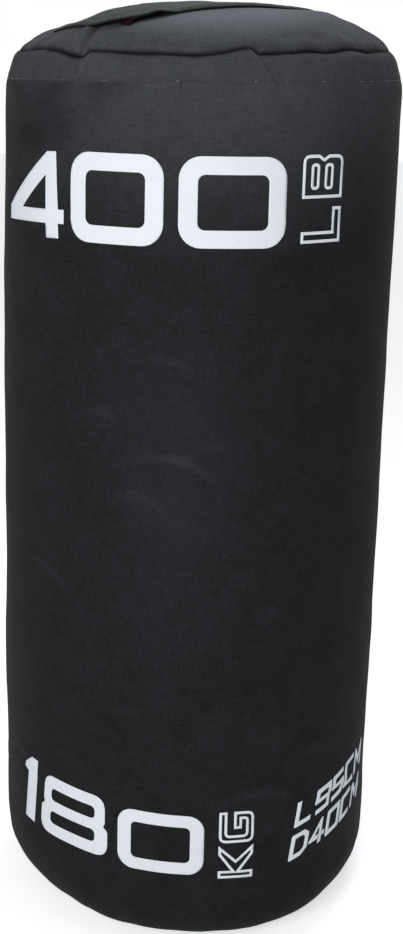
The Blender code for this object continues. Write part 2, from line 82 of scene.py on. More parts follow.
# Sand. Packed dry sand fills the bag up to its crown, and gives it its weight and its shape: the bag has
# slumped at its left shoulder and spread at its foot. Quartz grains under a millimetre across, so it is
# dull, tan and speckled with dark and pale grains.
BAG_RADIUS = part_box("side_panel")[1].x
CROWN_HEIGHT = 0.942
CROWN_RADIUS = 0.754
SHOULDER_RADIUS = 0.067
BASE_EDGE_RADIUS = 0.062
SHOULDER_CENTRE = BAG_RADIUS - SHOULDER_RADIUS
BASE_FLAT = BAG_RADIUS - BASE_EDGE_RADIUS
CROWN_CENTRE_Z = CROWN_HEIGHT - CROWN_RADIUS
CROWN_ANGLE = asin(SHOULDER_CENTRE / (CROWN_RADIUS - SHOULDER_RADIUS))
SHOULDER_Z = CROWN_CENTRE_Z + (CROWN_RADIUS - SHOULDER_RADIUS) * cos(CROWN_ANGLE)
CROWN_ARC = CROWN_RADIUS * CROWN_ANGLE
SHOULDER_ARC = CROWN_ARC + SHOULDER_RADIUS * (pi / 2 - CROWN_ANGLE)
WALL_ARC = SHOULDER_ARC + SHOULDER_Z - BASE_EDGE_RADIUS
BASE_EDGE_ARC = WALL_ARC + BASE_EDGE_RADIUS * pi / 2
BASE_ARC = BASE_EDGE_ARC + BASE_FLAT
CLOSURE_TURN = radians(50.0)
ALONG = Vector((cos(CLOSURE_TURN), sin(CLOSURE_TURN), 0.0))
ACROSS = Vector((sin(CLOSURE_TURN), -cos(CLOSURE_TURN), 0.0))
ZIP_ACROSS = 0.006
# In what settling does, a pair is where a change starts and how long it takes, and a threesome is the most
# that a swelling rises, where it is highest and how far it reaches.
STRIP_FRONT, STRIP_BACK, STRIP_HALF_WIDTH, STRIP_EDGE = 0.1455, 0.1520, 0.0285, (0.90, 0.30)
LEFT_SIDE = (0.58, 0.38)
FLANKS = (0.5, 0.4)
SHOULDER_SLUMP, SLUMP_RADIUS = 0.0088, (0.085, 0.060)
FRONT_DENT, FRONT_DENT_PLACE, FRONT_DENT_REACH = 0.0040, Vector((-0.075, -0.128, 0.0)), 0.032
RIGHT_RISE, RISE_ASIDE, RISE_END = 0.0078, (0.030, 0.110), (0.124, 0.040)
CROWN_SWELL, CROWN_SWELL_PLACE, CROWN_SWELL_REACH = 0.0014, Vector((0.035, -0.030, 0.0)), 0.038
CROWN_END = (0.195, 0.045)
LEAN_IN_HIGH, LEAN_OUT_LOW, LEAN_RIGHT = 0.0058, 0.0052, 0.0012
LEAN_HIGH, LEAN_LOW, LEAN_END = (0.62, 0.30), (0.0, 0.75), (WALL_ARC - 0.020, 0.070)
SIDE_FULL = (0.0024, 0.200, 0.014)
RIGHT_FULL = (0.0011, 0.204, 0.012)
RIGHT_FLAT = (0.0024, 0.136, 0.012)
FOOT_START = WALL_ARC - 0.030
FOOT_FULL = (0.0052, 25.0, 35.0)
FOOT_TIGHT = (0.0042, -50.0, 27.0)
SAND_LIFT = -0.0085
SAND_COLUMNS = 64
SAND_STEP = 0.014
DISH_RADIUS = 0.056
DISH_FLOOR_RADIUS = 0.034
DISH_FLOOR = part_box("liner_tie")[0].z - 0.0103
DISH_SAND = DISH_FLOOR - 0.001
SAND_TAN = "#b89c74"
SAND_DARK = "#7d664a"
SAND_GRAIN = 0.0008


def linear(code):
    """An sRGB hex colour as linear red, green, blue and alpha."""
    shares = [int(code[place:place + 2], 16) / 255 for place in (1, 3, 5)]
    return (*(s / 12.92 if s <= 0.04045 else ((s + 0.055) / 1.055) ** 2.4 for s in shares), 1.0)


def add_node(tree, kind, inputs=(), **settings):
    """A node with its settings, its input values or hex colours, and links from sockets or from nodes' first
    outputs."""
    node = tree.nodes.new(kind)
    for name, value in settings.items():
        setattr(node, name, value)
    for key, value in dict(inputs).items():
        source = value.outputs[0] if isinstance(value, bpy.types.Node) else value
        if isinstance(source, bpy.types.NodeSocket):
            tree.links.new(source, node.inputs[key])
        else:
            is_colour = isinstance(source, str) and source.startswith("#")
            node.inputs[key].default_value = linear(source) if is_colour else source
    return node


def emptied(owner):
    """Node tree of a material or world, with nothing in it."""
    owner.use_nodes = True
    owner.node_tree.nodes.clear()
    return owner.node_tree


def start_material(name):
    """Empty node tree of a new material, and its Texture Coordinate node's outputs."""
    tree = emptied(bpy.data.materials.new(name))
    return tree, add_node(tree, "ShaderNodeTexCoord").outputs


def finish_material(name, colour, height, depth, roughness, **shader_values):
    """Material whose tree already exists under this name: its shader, bump and output are added."""
    tree = bpy.data.materials[name].node_tree
    bump = add_node(tree, "ShaderNodeBump", {"Height": height, "Strength": 1.0, "Distance": depth})
    values = {key.replace("_", " "): value for key, value in shader_values.items()}
    shader = add_node(tree, "ShaderNodeBsdfPrincipled",
                      {"Base Color": colour, "Normal": bump, "Roughness": roughness, **values})
    add_node(tree, "ShaderNodeOutputMaterial", {"Surface": shader})
    return bpy.data.materials[name]


def packed_sand():
    tree, spot = start_material("packed_sand")
    grains = add_node(tree, "ShaderNodeTexVoronoi", {"Vector": spot["Object"], "Scale": 1 / SAND_GRAIN})
    drift = add_node(tree, "ShaderNodeTexNoise", {"Vector": spot["Object"], "Scale": 30.0})
    mixed = add_node(tree, "ShaderNodeMath", {0: grains.outputs["Color"], 1: drift}, operation="MULTIPLY")
    colour = add_node(tree, "ShaderNodeMix", {0: mixed, 6: SAND_TAN, 7: SAND_DARK}, data_type="RGBA")
    return finish_material("packed_sand", colour.outputs[2], grains.outputs["Distance"], SAND_GRAIN / 2, 0.95)


def ramp(value, start, width):
    """Even rise from 0 at the start to 1 over the width, and level beyond."""
    share = min(1.0, max(0.0, (value - start) / width))
    return share * share * (3 - 2 * share)


def hump(distance, reach):
    """1 where the distance is nothing, falling off evenly over the reach."""
    return exp(-(distance / reach) ** 2)


def swell(value, most, middle, reach):
    """A swelling: the most that it rises, where it is highest, and its reach."""
    return most * hump(value - middle, reach)


def around(turn, radius, height):
    """Point at a turn from the front towards +X, a radius and a height."""
    return Vector((radius * sin(turn), -radius * cos(turn), height))


def skin_point(arc, lift):
    """Radius and height of the bag's even skin at a distance down it from the crown's top, lifted off it."""
    if arc <= CROWN_ARC:
        angle = arc / CROWN_RADIUS
        reach = CROWN_RADIUS + lift
        return reach * sin(angle), CROWN_CENTRE_Z + reach * cos(angle)
    if arc <= SHOULDER_ARC:
        angle = CROWN_ANGLE + (arc - CROWN_ARC) / SHOULDER_RADIUS
        reach = SHOULDER_RADIUS + lift
        return SHOULDER_CENTRE + reach * sin(angle), SHOULDER_Z + reach * cos(angle)
    if arc <= WALL_ARC:
        return BAG_RADIUS + lift, SHOULDER_Z - (arc - SHOULDER_ARC)
    if arc <= BASE_EDGE_ARC:
        angle = (arc - WALL_ARC) / BASE_EDGE_RADIUS
        reach = BASE_EDGE_RADIUS + lift
        return BASE_FLAT + reach * cos(angle), BASE_EDGE_RADIUS - reach * sin(angle)
    return BASE_ARC - arc, -lift


def left_share(turn):
    """How much a place belongs to the slumped left side."""
    return ramp(-sin(turn), *LEFT_SIDE)


def settle(turn, arc):
    """How far the packed sand has moved the skin off its even shape. The zip's own strip stays even."""
    radius, height = skin_point(arc, 0.0)
    flat = around(turn, radius, 0.0)
    end, aside = flat.dot(ALONG), (flat.dot(ACROSS) - ZIP_ACROSS) / STRIP_HALF_WIDTH
    end /= STRIP_FRONT if end < 0 else STRIP_BACK
    clear = ramp((end ** 4 + aside ** 4) ** 0.25, *STRIP_EDGE)
    crown = 1 - ramp(arc, *CROWN_END)
    top = RIGHT_RISE * ramp(flat.x, *RISE_ASIDE) * (1 - ramp(arc, *RISE_END))
    top += CROWN_SWELL * hump((flat - CROWN_SWELL_PLACE).length, CROWN_SWELL_REACH)
    top -= SHOULDER_SLUMP * left_share(turn) * ramp(radius, *SLUMP_RADIUS)
    top -= FRONT_DENT * hump((flat - FRONT_DENT_PLACE).length, FRONT_DENT_REACH)
    high = ramp(height, *LEAN_HIGH)
    lean = max(0.0, -sin(turn)) * (LEAN_OUT_LOW * (1 - ramp(height, *LEAN_LOW)) - LEAN_IN_HIGH * high)
    lean += max(0.0, sin(turn)) * LEAN_RIGHT * high
    lean *= (1 - crown) * (1 - ramp(arc, *LEAN_END))
    full = ramp(-sin(turn), *FLANKS) * swell(arc, *SIDE_FULL)
    full += ramp(sin(turn), *FLANKS) * (swell(arc, *RIGHT_FULL) - swell(arc, *RIGHT_FLAT))
    down = min(1.0, max(0.0, (arc - FOOT_START) / (BASE_EDGE_ARC - FOOT_START)))
    foot = swell(degrees(turn), *FOOT_FULL) - swell(degrees(turn), *FOOT_TIGHT)
    return clear * (crown * top + full) + lean + foot * sin(pi * down) ** 2


def bag_point(turn, arc, lift):
    """Point on the bag at a turn, a distance down the skin, and a lift off it."""
    return around(turn, *skin_point(arc, lift + settle(turn, arc)))


def spread(start, end, step):
    """Evenly spaced values from start to end, both included, no further apart than the step."""
    count = max(1, ceil(abs(end - start) / step - 1e-6))
    return [start + (end - start) * place / count for place in range(count + 1)]


def add_mesh(name, points, faces, corners, material):
    """Smooth piece from points, faces and a UV place per face corner, its faces turned outwards."""
    mesh = bpy.data.meshes.new(name)
    mesh.from_pydata(points, [], faces)
    values = [value for corner in corners for value in corner]
    mesh.uv_layers.new(name="UVMap").uv.foreach_set("vector", values)
    shape = bmesh.new()
    shape.from_mesh(mesh)
    if shape.calc_volume(signed=True) < 0:
        bmesh.ops.reverse_faces(shape, faces=shape.faces)
    shape.to_mesh(mesh)
    shape.free()
    mesh.shade_smooth()
    mesh.set_sharp_from_angle(angle=radians(50.0))
    mesh.materials.append(material)
    return add_object(name, mesh)


def add_rings(name, rings, places, material, wrapped=False):
    """Piece from rings of points, each joined to the next. A ring of one point is a pole. places holds a UV
    place per point and one more that closes the ring; wrapped joins the last ring to the first."""
    starts = [sum(len(ring) for ring in rings[:index]) for index in range(len(rings))]
    columns = max(len(ring) for ring in rings)
    pairs = list(zip(range(len(rings) - 1), range(1, len(rings)))) + [(len(rings) - 1, 0)] * wrapped
    faces, corners = [], []
    for one, two in pairs:
        for column in range(columns):
            quad = [(one, column), (two, column), (two, column + 1), (one, column + 1)]
            if len(rings[one]) == 1:
                quad = [(one, 0)] + quad[1:3]
            if len(rings[two]) == 1:
                quad = [quad[0], (two, 0), quad[3]]
            faces.append([starts[ring] + place % len(rings[ring]) for ring, place in quad])
            corners += [places[ring][place] for ring, place in quad]
    return add_mesh(name, [point for ring in rings for point in ring], faces, corners, material)


def dress(piece, body, slot, *nodes):
    """The piece moves with this body and stands for these nodes. The slot is not used."""
    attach(piece, body)
    if nodes:
        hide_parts(*nodes)


def filling_rings(turns, lift, step):
    """Rings down the filling's surface, from the rim of the dish under the zip to the middle of the base."""
    arcs = spread(DISH_RADIUS, BASE_ARC - step, step)
    rings = [[bag_point(turn, arc, lift) for turn in turns] for arc in arcs]
    return rings + [[bag_point(0.0, BASE_ARC, lift)]]


def dish_rings(turns, low, first_radius):
    """Rings in the dish, from its flat floor up its side, short of its rim."""
    rim = skin_point(DISH_RADIUS, SAND_LIFT)[1]
    rings = []
    for share in (0.0, 0.3, 0.55, 0.8):
        radius = first_radius + share * (DISH_RADIUS - first_radius)
        height = low + ramp(1.4 * share, 0.3, 1.0) * (rim - low)
        rings.append([around(turn, radius, height) for turn in turns])
    return rings


turns = [column * tau / SAND_COLUMNS for column in range(SAND_COLUMNS)]
rings = [[Vector((0.0, 0.0, DISH_SAND))]] + dish_rings(turns, DISH_SAND, DISH_FLOOR_RADIUS)
rings += filling_rings(turns, SAND_LIFT, SAND_STEP)
places = [[(0.0, 0.0)] * (SAND_COLUMNS + 1)] * len(rings)
dress(add_rings("packed_sand_fill", rings, places, packed_sand()), "bag", "sand", "sand_fill")


# Inner liner. A sack of thick milky polythene sheet holds the sand inside the woven shell. Its mouth is
# gathered into pleats and tied in a dish under the zip, so that it can be opened to fill or empty the bag.
LINER_LIFT = -0.0072
LINER_SHEET = 0.0006
LINER_COLUMNS = 96
LINER_STEP = 0.012
LINER_DISH = DISH_FLOOR + 0.0012
NECK_FOOT_RADIUS = 0.022
NECK_LINE = ((0.0210, 0.026), (0.0120, 0.018), (0.0100, 0.014), (0.0105, 0.009), (0.0150, 0.003))
NECK_PLEATS = 13
NECK_PLEAT_SHARE = 0.13
LINER_MILKY = "#c9cdd0"
LINER_DUSTY = "#b4aea2"


def milky_polythene():
    """Blown film, slightly cloudy, with sand dust on it: soft gloss over fine crinkles."""
    tree, spot = start_material("milky_polythene")
    crinkle = add_node(tree, "ShaderNodeTexNoise",
                       {"Vector": spot["Object"], "Scale": 90.0, "Detail": 4.0, "Distortion": 1.2})
    dust = add_node(tree, "ShaderNodeTexNoise", {"Vector": spot["Object"], "Scale": 14.0, "Detail": 6.0})
    colour = add_node(tree, "ShaderNodeMix", {0: dust, 6: LINER_MILKY, 7: LINER_DUSTY}, data_type="RGBA")
    return finish_material("milky_polythene", colour.outputs[2], crinkle, 0.0008, 0.42)


turns = [column * tau / LINER_COLUMNS for column in range(LINER_COLUMNS + 1)]
pleats = [1 + NECK_PLEAT_SHARE * sin(NECK_PLEATS * turn) for turn in turns]
rings = []
for radius, height in NECK_LINE:
    rings.append([around(turn, radius * pleat, DISH_FLOOR + height)
                  for turn, pleat in zip(turns, pleats[:-1])])
rings += dish_rings(turns[:-1], LINER_DISH, NECK_FOOT_RADIUS)
rings += filling_rings(turns[:-1], LINER_LIFT, LINER_STEP)
places = [[(turn * BAG_RADIUS, row * LINER_STEP) for turn in turns] for row in range(len(rings))]
liner = add_rings("inner_liner_sack", rings, places, milky_polythene())
film = liner.modifiers.new("sheet", "SOLIDIFY")
film.thickness = LINER_SHEET
film.offset = -1.0
dress(liner, "bag", "liner_sheet", "inner_liner")


# Liner tie. Soft braided cotton cord, wound tight three times round the gathered neck of the liner, which
# holds the sack shut. Its knot and loose ends are left out.
TIE_RADIUS = 0.0011
TIE_WINDING_RADIUS = 0.0126
TIE_TURNS = 3
TIE_STEPS = 24
TIE_SIDES = 8
TIE_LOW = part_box("liner_tie")[0].z + TIE_RADIUS - 0.0002
TIE_RISE = 0.0021
TIE_COTTON = "#d8d3c4"
TIE_SHADE = "#a9a290"


def two_tone(name, kind, place, pattern, tones, depth, roughness, bands=None, **shader_values):
    """Material of one pattern, a wave or noise, which gives both its mix of two tones and its relief."""
    tree, spot = start_material(name)
    settings = {"bands_direction": bands} if bands else {}
    drawn = add_node(tree, "ShaderNodeTex" + kind, {"Vector": spot[place], **pattern}, **settings)
    colour = add_node(tree, "ShaderNodeMix", {0: drawn, 6: tones[0], 7: tones[1]}, data_type="RGBA")
    return finish_material(name, colour.outputs[2], drawn, depth, roughness, **shader_values)


def add_tube(name, path, radius, sides, material):
    """Round cord along a path of points, closed at both ends, with UV in metres along and round it."""
    rings, places, travelled = [], [], 0.0
    for index, point in enumerate(path):
        before, after = path[max(0, index - 1)], path[min(len(path) - 1, index + 1)]
        ahead = (after - before).normalized()
        side = ahead.cross(Vector((0.0, 0.0, 1.0))).normalized()
        over = side.cross(ahead)
        travelled += (point - before).length
        angles = [tau * step / sides for step in range(sides + 1)]
        rings.append([point + radius * (side * cos(angle) + over * sin(angle)) for angle in angles[:-1]])
        places.append([(travelled, angle * radius) for angle in angles])
    rings = [[path[0]]] + rings + [[path[-1]]]
    places = [[(0.0, 0.0)]] + places + [[(travelled, 0.0)]]
    return add_rings(name, rings, places, material)


# Eight-strand braid: slanted strands about a millimetre apart, dull and a little hairy.
braided_cotton = two_tone("braided_cotton", "Wave", "UV", {"Scale": 300.0, "Distortion": 1.0},
                          (TIE_SHADE, TIE_COTTON), 0.0004, 0.85, "DIAGONAL")
path = []
for step in range(TIE_STEPS * TIE_TURNS + 1):
    angle = step * tau / TIE_STEPS
    height = TIE_LOW + TIE_RISE * angle / tau
    path.append(around(angle + pi / 2, TIE_WINDING_RADIUS, height))
dress(add_tube("liner_tie_cord", path, TIE_RADIUS, TIE_SIDES, braided_cotton), "bag", "tie_cord", "liner_tie")


# Base. Two rounds of the black woven polyester, the inner one a size smaller, and a woven tape over the
# raw edge of the seam that joins the base to the wall. The seam is tucked under, out of sight.
BASE_SEAM_ARC = WALL_ARC + 0.72 * (BASE_EDGE_ARC - WALL_ARC)
BASE_STEP = 0.008
BASE_COLUMNS = 160
BAND_STEP = 0.004
SECOND_ROUND_ARC = BASE_EDGE_ARC + 0.010
SECOND_ROUND_LIFT = -0.0026
BASE_TAPE_LIFTS = (-0.0034, -0.0044)
CLOTH = 0.0016
SEWN_GAP = 0.0003
BINDING_WIDTH = 0.032
BASE_WRINKLE = 0.0004
BASE_SEAM_DIP, BASE_SEAM_REACH = 0.0012, 0.0022
SHELL_BLACK = "#1a1a1b"
SHELL_THREAD = "#242528"
# Painted light: the wall is drawn lighter towards its top, between two heights, where light from above falls.
SHELL_TOP_LIGHT = (0.690, 0.905, "#383a3d", "#444649")
# Painted shade, with some dirt in the seams, is mixed in towards this near-black.
SHADE_AND_GRIME_BLACK = "#08080a"
# Painted highlights and sheen are mixed in towards this pale grey.
HIGHLIGHT_THREAD = "#55585f"
TAPE_BLACK = "#161617"
TAPE_RIB = "#242426"
# Real yarns lie about 0.6 mm apart. They are drawn wider, so that they show at arm's length.
YARN = 0.0016
TAPE_RIB_PITCH = 0.0016
WAVE_PERIOD = tau / 20
# How much the painted light from above falls off towards the flanks.
FLANK_LIGHT_DROP = 1.6


def plain_weave(tree, place, yarn, values):
    """The two waves of a plain weave, one across the other."""
    waves = {"Vector": place, "Scale": WAVE_PERIOD / yarn, **values}
    return [add_node(tree, "ShaderNodeTexWave", waves, bands_direction=way).outputs["Fac"] for way in "XY"]


def woven_cloth(name, ground, thread, yarn, relief, roughness, gloss, top_light=None):
    """Plain-woven cloth: yarns pass over and under each other, uneven in tone, dull and without depth.

    It darkens where shade is painted in, with some dirt in the seams, and pales where highlights and sheen
    are painted on. The last argument paints it lighter with height, between two heights and less at the
    flanks, where the light from above falls on it."""
    tree, spot = start_material(name)
    place = spot["UV"]
    warp, weft = plain_weave(tree, place, yarn, {"Distortion": 0.8, "Detail Scale": 0.4})
    over = add_node(tree, "ShaderNodeTexChecker", {"Vector": place, "Scale": 1 / yarn}).outputs["Fac"]
    height = add_node(tree, "ShaderNodeMix", {0: over, 2: warp, 3: weft})
    streaks = []
    for stretch in ((0.90 / yarn, 0.12 / yarn, 1.0), (0.12 / yarn, 0.90 / yarn, 1.0)):
        longer = add_node(tree, "ShaderNodeVectorMath", {0: place, 1: stretch}, operation="MULTIPLY")
        streaks.append(add_node(tree, "ShaderNodeTexNoise", {"Vector": longer, "Scale": 1.0, "Detail": 1.0}))
    tone = add_node(tree, "ShaderNodeMath", dict(enumerate(streaks)), operation="ADD")
    patches = add_node(tree, "ShaderNodeTexNoise",
                       {"Vector": spot["Object"], "Scale": 24.0, "Detail": 6.0, "Roughness": 0.7})
    both = add_node(tree, "ShaderNodeMath", {0: patches, 1: 1.2, 2: tone}, operation="MULTIPLY_ADD")
    share = add_node(tree, "ShaderNodeMapRange", {0: both, 1: 1.25, 2: 1.95})
    finished = add_node(tree, "ShaderNodeMix", {0: share, 6: ground, 7: thread}, data_type="RGBA")
    # Painted light: lighter tones are mixed in higher up, less so at the flanks.
    if top_light:
        low, high, pale_ground, pale_thread = top_light
        split = add_node(tree, "ShaderNodeSeparateXYZ", {0: spot["Object"]}).outputs
        aside = add_node(tree, "ShaderNodeMath", {0: split["X"], 1: split["X"]}, operation="MULTIPLY")
        lower = add_node(tree, "ShaderNodeMath", {0: aside, 1: -FLANK_LIGHT_DROP, 2: split["Z"]},
                         operation="MULTIPLY_ADD")
        rise = add_node(tree, "ShaderNodeMapRange", {0: lower, 1: low, 2: high},
                        interpolation_type="SMOOTHSTEP")
        pale = add_node(tree, "ShaderNodeMix", {0: share, 6: pale_ground, 7: pale_thread}, data_type="RGBA")
        finished = add_node(tree, "ShaderNodeMix", {0: rise, 6: finished.outputs[2], 7: pale.outputs[2]},
                            data_type="RGBA")
    # Painted shade, with some dirt in the seams, and painted highlights and sheen, where the piece's
    # attributes ask.
    for name_of, colour in (("shade_and_grime", SHADE_AND_GRIME_BLACK), ("painted_highlight", HIGHLIGHT_THREAD)):
        there = add_node(tree, "ShaderNodeAttribute", attribute_name=name_of).outputs["Fac"]
        finished = add_node(tree, "ShaderNodeMix", {0: there, 6: finished.outputs[2], 7: colour},
                            data_type="RGBA")
    return finish_material(name, finished.outputs[2], height, relief, roughness, Specular_IOR_Level=gloss)


shell_cloth = woven_cloth("woven_polyester_black", SHELL_BLACK, SHELL_THREAD, YARN, 0.00012, 0.75, 0.04,
                          SHELL_TOP_LIGHT)
# Narrow woven tape with a herringbone rib along it, dull black.
tape_cloth = two_tone("ribbed_polyester_tape", "Wave", "UV",
                      {"Scale": WAVE_PERIOD / TAPE_RIB_PITCH, "Distortion": 0.4},
                      (TAPE_BLACK, TAPE_RIB), 0.0003, 0.85, "DIAGONAL", Specular_IOR_Level=0.04)


def even_turns(columns):
    """Turns from the back, round by the front and to the back again."""
    return [-pi + column * tau / columns for column in range(columns + 1)]


def level(lift):
    """Lift function that gives the same at every place."""
    return lambda one, two: lift


def skin_rings(rows, lift_at):
    """Rings of points from rows of places on the skin, each a turn and a distance down it."""
    return [[bag_point(turn, arc, lift_at(turn, arc)) for turn, arc in row] for row in rows]


def skin_places(rows):
    """UV places in metres round and up the skin, from the same rows."""
    return [[(turn * BAG_RADIUS, -arc) for turn, arc in row] for row in rows]


def add_band(name, middle, lifts, material):
    """Closed band of tape round the bag, over a seam, between two lifts."""
    arcs = spread(middle - BINDING_WIDTH / 2, middle + BINDING_WIDTH / 2, BAND_STEP)
    rows = [[(turn, arc) for turn in even_turns(BASE_COLUMNS)] for arc in arcs]
    open_rows = [row[:-1] for row in rows]
    rings = skin_rings(open_rows, level(lifts[0])) + skin_rings(open_rows[::-1], level(lifts[1]))
    return add_rings(name, rings, skin_places(rows + rows[::-1]), material, wrapped=True)


def add_round(name, start, over, material):
    """Round of cloth from a distance down the skin to the middle of the base."""
    arcs = spread(start, BASE_ARC - BASE_STEP, BASE_STEP)
    rows = [[(turn, arc) for turn in even_turns(BASE_COLUMNS)[:-1]] for arc in arcs] + [[(0.0, BASE_ARC)]]
    rings = skin_rings(rows[::-1], over) + skin_rings(rows, lambda turn, arc: over(turn, arc) - CLOTH)
    places = [[(point.x, point.y) for point in ring + ring[:1]] for ring in rings]
    return add_rings(name, rings, places, material)


def base_lift(turn, arc):
    """The base cloth dips in at its seam, and presses flat on the floor but for faint wrinkles."""
    wrinkle = abs(noise.noise(bag_point(turn, arc, 0.0) * 45))
    return -BASE_WRINKLE * wrinkle - swell(arc, BASE_SEAM_DIP, BASE_SEAM_ARC, BASE_SEAM_REACH)


dress(add_round("base_round", BASE_SEAM_ARC + SEWN_GAP / 2, base_lift, shell_cloth),
      "bag", "shell_cloth", "base_panel")
dress(add_round("base_second_round", SECOND_ROUND_ARC, level(SECOND_ROUND_LIFT), shell_cloth),
      "bag", "shell_cloth", "base_reinforcement")
dress(add_band("base_seam_tape", BASE_SEAM_ARC, BASE_TAPE_LIFTS, tape_cloth),
      "bag", "binding_tape", "base_seam_binding")


# Wall. One length of heavy black polyester, woven plain, rolled into a tube and joined by an upright
# felled seam at the back. Packed sand rounds it out, and it is eased into the smaller top round with two
# tucks, which fan out below the top seam.
TOP_SEAM_ARC = CROWN_ARC + 0.60 * (SHOULDER_ARC - CROWN_ARC)
TUCK_LEFT, TUCK_LEFT_SLANT, TUCK_LEFT_CURVE = radians(-31.6), -1.22, -48.0
TUCK_RIGHT, TUCK_RIGHT_SLANT = radians(14.6), 3.10
TUCK_STEP, TUCK_EDGE, TUCK_SPREAD, TUCK_END = 0.0028, 0.0016, 0.020, 0.031
TUCK_GROOVE = (0.0007, -0.0010, 0.0014)
SEAM_DEPTH, SEAM_HALF_WIDTH = 0.0030, 0.0027
SEAM_PUFF = (0.0009, 0.009, 0.006)
SEAM_BAND = 0.030
SEAM_SHADE = 0.0026
# Where the top seam runs, in degrees from the front: each pull has its depth, start, tuck and snap.
SEAM_WAVE, SEAM_WAVES = 0.0009, 3.4
SEAM_PULLS = ((0.0046, -45.0, -34.4, 2.6), (-0.0058, -1.0, 12.6, 3.6))
SEAM_RISES = ((0.0014, -28.0, 8.0), (0.0034, -56.0, 12.0))
SEAM_RIPPLE, RIPPLE_START, RIPPLE_END = 0.0018, (25.0, 8.0), (56.0, 8.0)
RIPPLE_MIDDLE, RIPPLE_LENGTH = 38.0, 19.6
SEAM_FLANK, FLANK_START, FLANK_END, SEAM_LEFT = 0.0076, (0.0, 48.0), (110.0, 60.0), 0.0056
TOPSTITCH_ARC, TOPSTITCH_SWAY = 0.2268, 0.0024
TOPSTITCH_DIP, TOPSTITCH_REACH = 0.0005, 0.0016
BAND_PUCKER, BAND_FOLDS = (0.0017, 0.011, 0.012), (0.016, 0.050)
FOOT_PUCKER, FOOT_FOLDS, FOOT_BAND = 0.0010, (0.022, 0.080), 0.060
LUMP, LUMP_SIZE = 0.0016, 0.110
DENT, DENT_SIZE = 0.0006, 0.042
BACK_SEAM_HALF, BACK_SEAM_RISE = 0.006, 0.0010
WALL_STEP = 0.0043
WALL_UNDER, UNDER_GAP = -0.0020, 0.0008
SIDE_TAPE_WIDTH, SIDE_TAPE_END, SIDE_TAPE_LIFTS = 0.025, 0.012, (-0.0027, -0.0037)
# Each crease of the wall: its middle as degrees from the front and height, its length, its slope in
# degrees, and how deep it is.
CREASES = (
    (-6.6, 0.625, 0.060, -12.0, 0.0010), (-25.7, 0.571, 0.050, -10.0, 0.0012),
    (-4.0, 0.530, 0.090, -14.0, 0.0014), (7.0, 0.545, 0.060, 4.0, 0.0009),
    (-14.3, 0.492, 0.060, -14.0, 0.0010), (21.5, 0.179, 0.080, 0.0, 0.0020),
    (56.0, 0.156, 0.110, -14.0, 0.0012), (42.0, 0.214, 0.110, -6.0, 0.0011),
    (35.0, 0.246, 0.090, 3.0, 0.0009), (-60.0, 0.182, 0.050, -3.0, 0.0012),
    (-44.0, 0.400, 0.090, -20.0, 0.0013), (-50.0, 0.487, 0.060, 16.0, 0.0009),
    (60.0, 0.590, 0.080, 20.0, 0.0010), (-20.0, 0.270, 0.070, 10.0, 0.0008),
    (110.0, 0.640, 0.120, 12.0, 0.0013), (150.0, 0.350, 0.120, -14.0, 0.0013),
    (-120.0, 0.520, 0.130, -10.0, 0.0013), (-150.0, 0.230, 0.100, 12.0, 0.0012),
    (-100.0, 0.150, 0.120, 6.0, 0.0012), (120.0, 0.140, 0.120, -8.0, 0.0012),
)
CREASE_WIDTH, CREASE_BOW = 0.0055, 0.6
CREASE_HOLLOW, CREASE_HOLLOW_ASIDE = 0.55, 0.009
# Painted shade in the top seam, with some dirt, and in the topstitching; a darker patch on the left below it.
SEAM_SHADE_SHARE, STITCH_SHADE_SHARE, LEFT_DARK_PATCH = 0.92, 0.15, 0.42
# Painted sheen down the middle of the front, and painted highlights on the creases' ridges.
FRONT_SHEEN_SHARE, FRONT_SHEEN_MIDDLE, FRONT_SHEEN_HIGH = 0.07, (-6.0, 17.0), (0.580, 0.150)
CREASE_HIGHLIGHT = 0.09


def seam_arc(turn):
    """Distance down the skin at which the top seam runs: wavy, pulled at the tucks, higher on one flank."""
    place = degrees(turn)
    arc = TOP_SEAM_ARC + SEAM_WAVE * noise.noise(Vector((sin(turn), cos(turn), 0.7)) * SEAM_WAVES)
    for depth, start, tuck, snap in SEAM_PULLS:
        arc += depth * ramp(place, start, tuck - start) * (1 - ramp(place, tuck, snap))
    arc -= sum(swell(place, *rise) for rise in SEAM_RISES)
    ripple = ramp(place, *RIPPLE_START) * (1 - ramp(place, *RIPPLE_END))
    arc += SEAM_RIPPLE * ripple * cos(tau * (place - RIPPLE_MIDDLE) / RIPPLE_LENGTH)
    flank = ramp(place, *FLANK_START) * (1 - ramp(place, *FLANK_END))
    return arc - SEAM_FLANK * flank - SEAM_LEFT * left_share(turn)


def seam_dip(turn, from_seam):
    """Lift near the top seam: turned in at the seam, puffed out beside it, least at the flanks."""
    facing = 0.2 + 0.8 * ramp(abs(cos(turn)), 0.15, 0.40)
    dip = SEAM_DEPTH * exp(-abs(from_seam / SEAM_HALF_WIDTH) ** 1.5)
    return facing * (swell(abs(from_seam), *SEAM_PUFF) - dip)


def topstitch_arc(turn):
    return TOPSTITCH_ARC - TOPSTITCH_SWAY * sin(turn)


def inside_tucks(turn, arc):
    """How far inside the left and the right tuck a place is, and how far below the seam."""
    down = arc - TOP_SEAM_ARC
    left = turn - TUCK_LEFT - TUCK_LEFT_SLANT * down - TUCK_LEFT_CURVE * down * abs(down)
    right = TUCK_RIGHT + TUCK_RIGHT_SLANT * down - turn
    return left * BAG_RADIUS, right * BAG_RADIUS, down


def tuck_lift(turn, arc):
    """The band between the tucks laps over the cloth beside it, most of all at the tucks themselves."""
    left, right, down = inside_tucks(turn, arc)
    lift = 0.0
    for inside in (left, right):
        lift += TUCK_STEP * ramp(inside, 0.0, TUCK_EDGE) * exp(-max(0.0, inside) / TUCK_SPREAD)
        lift -= swell(inside, *TUCK_GROOVE)
    return lift * ramp(TUCK_END, down, 0.010)


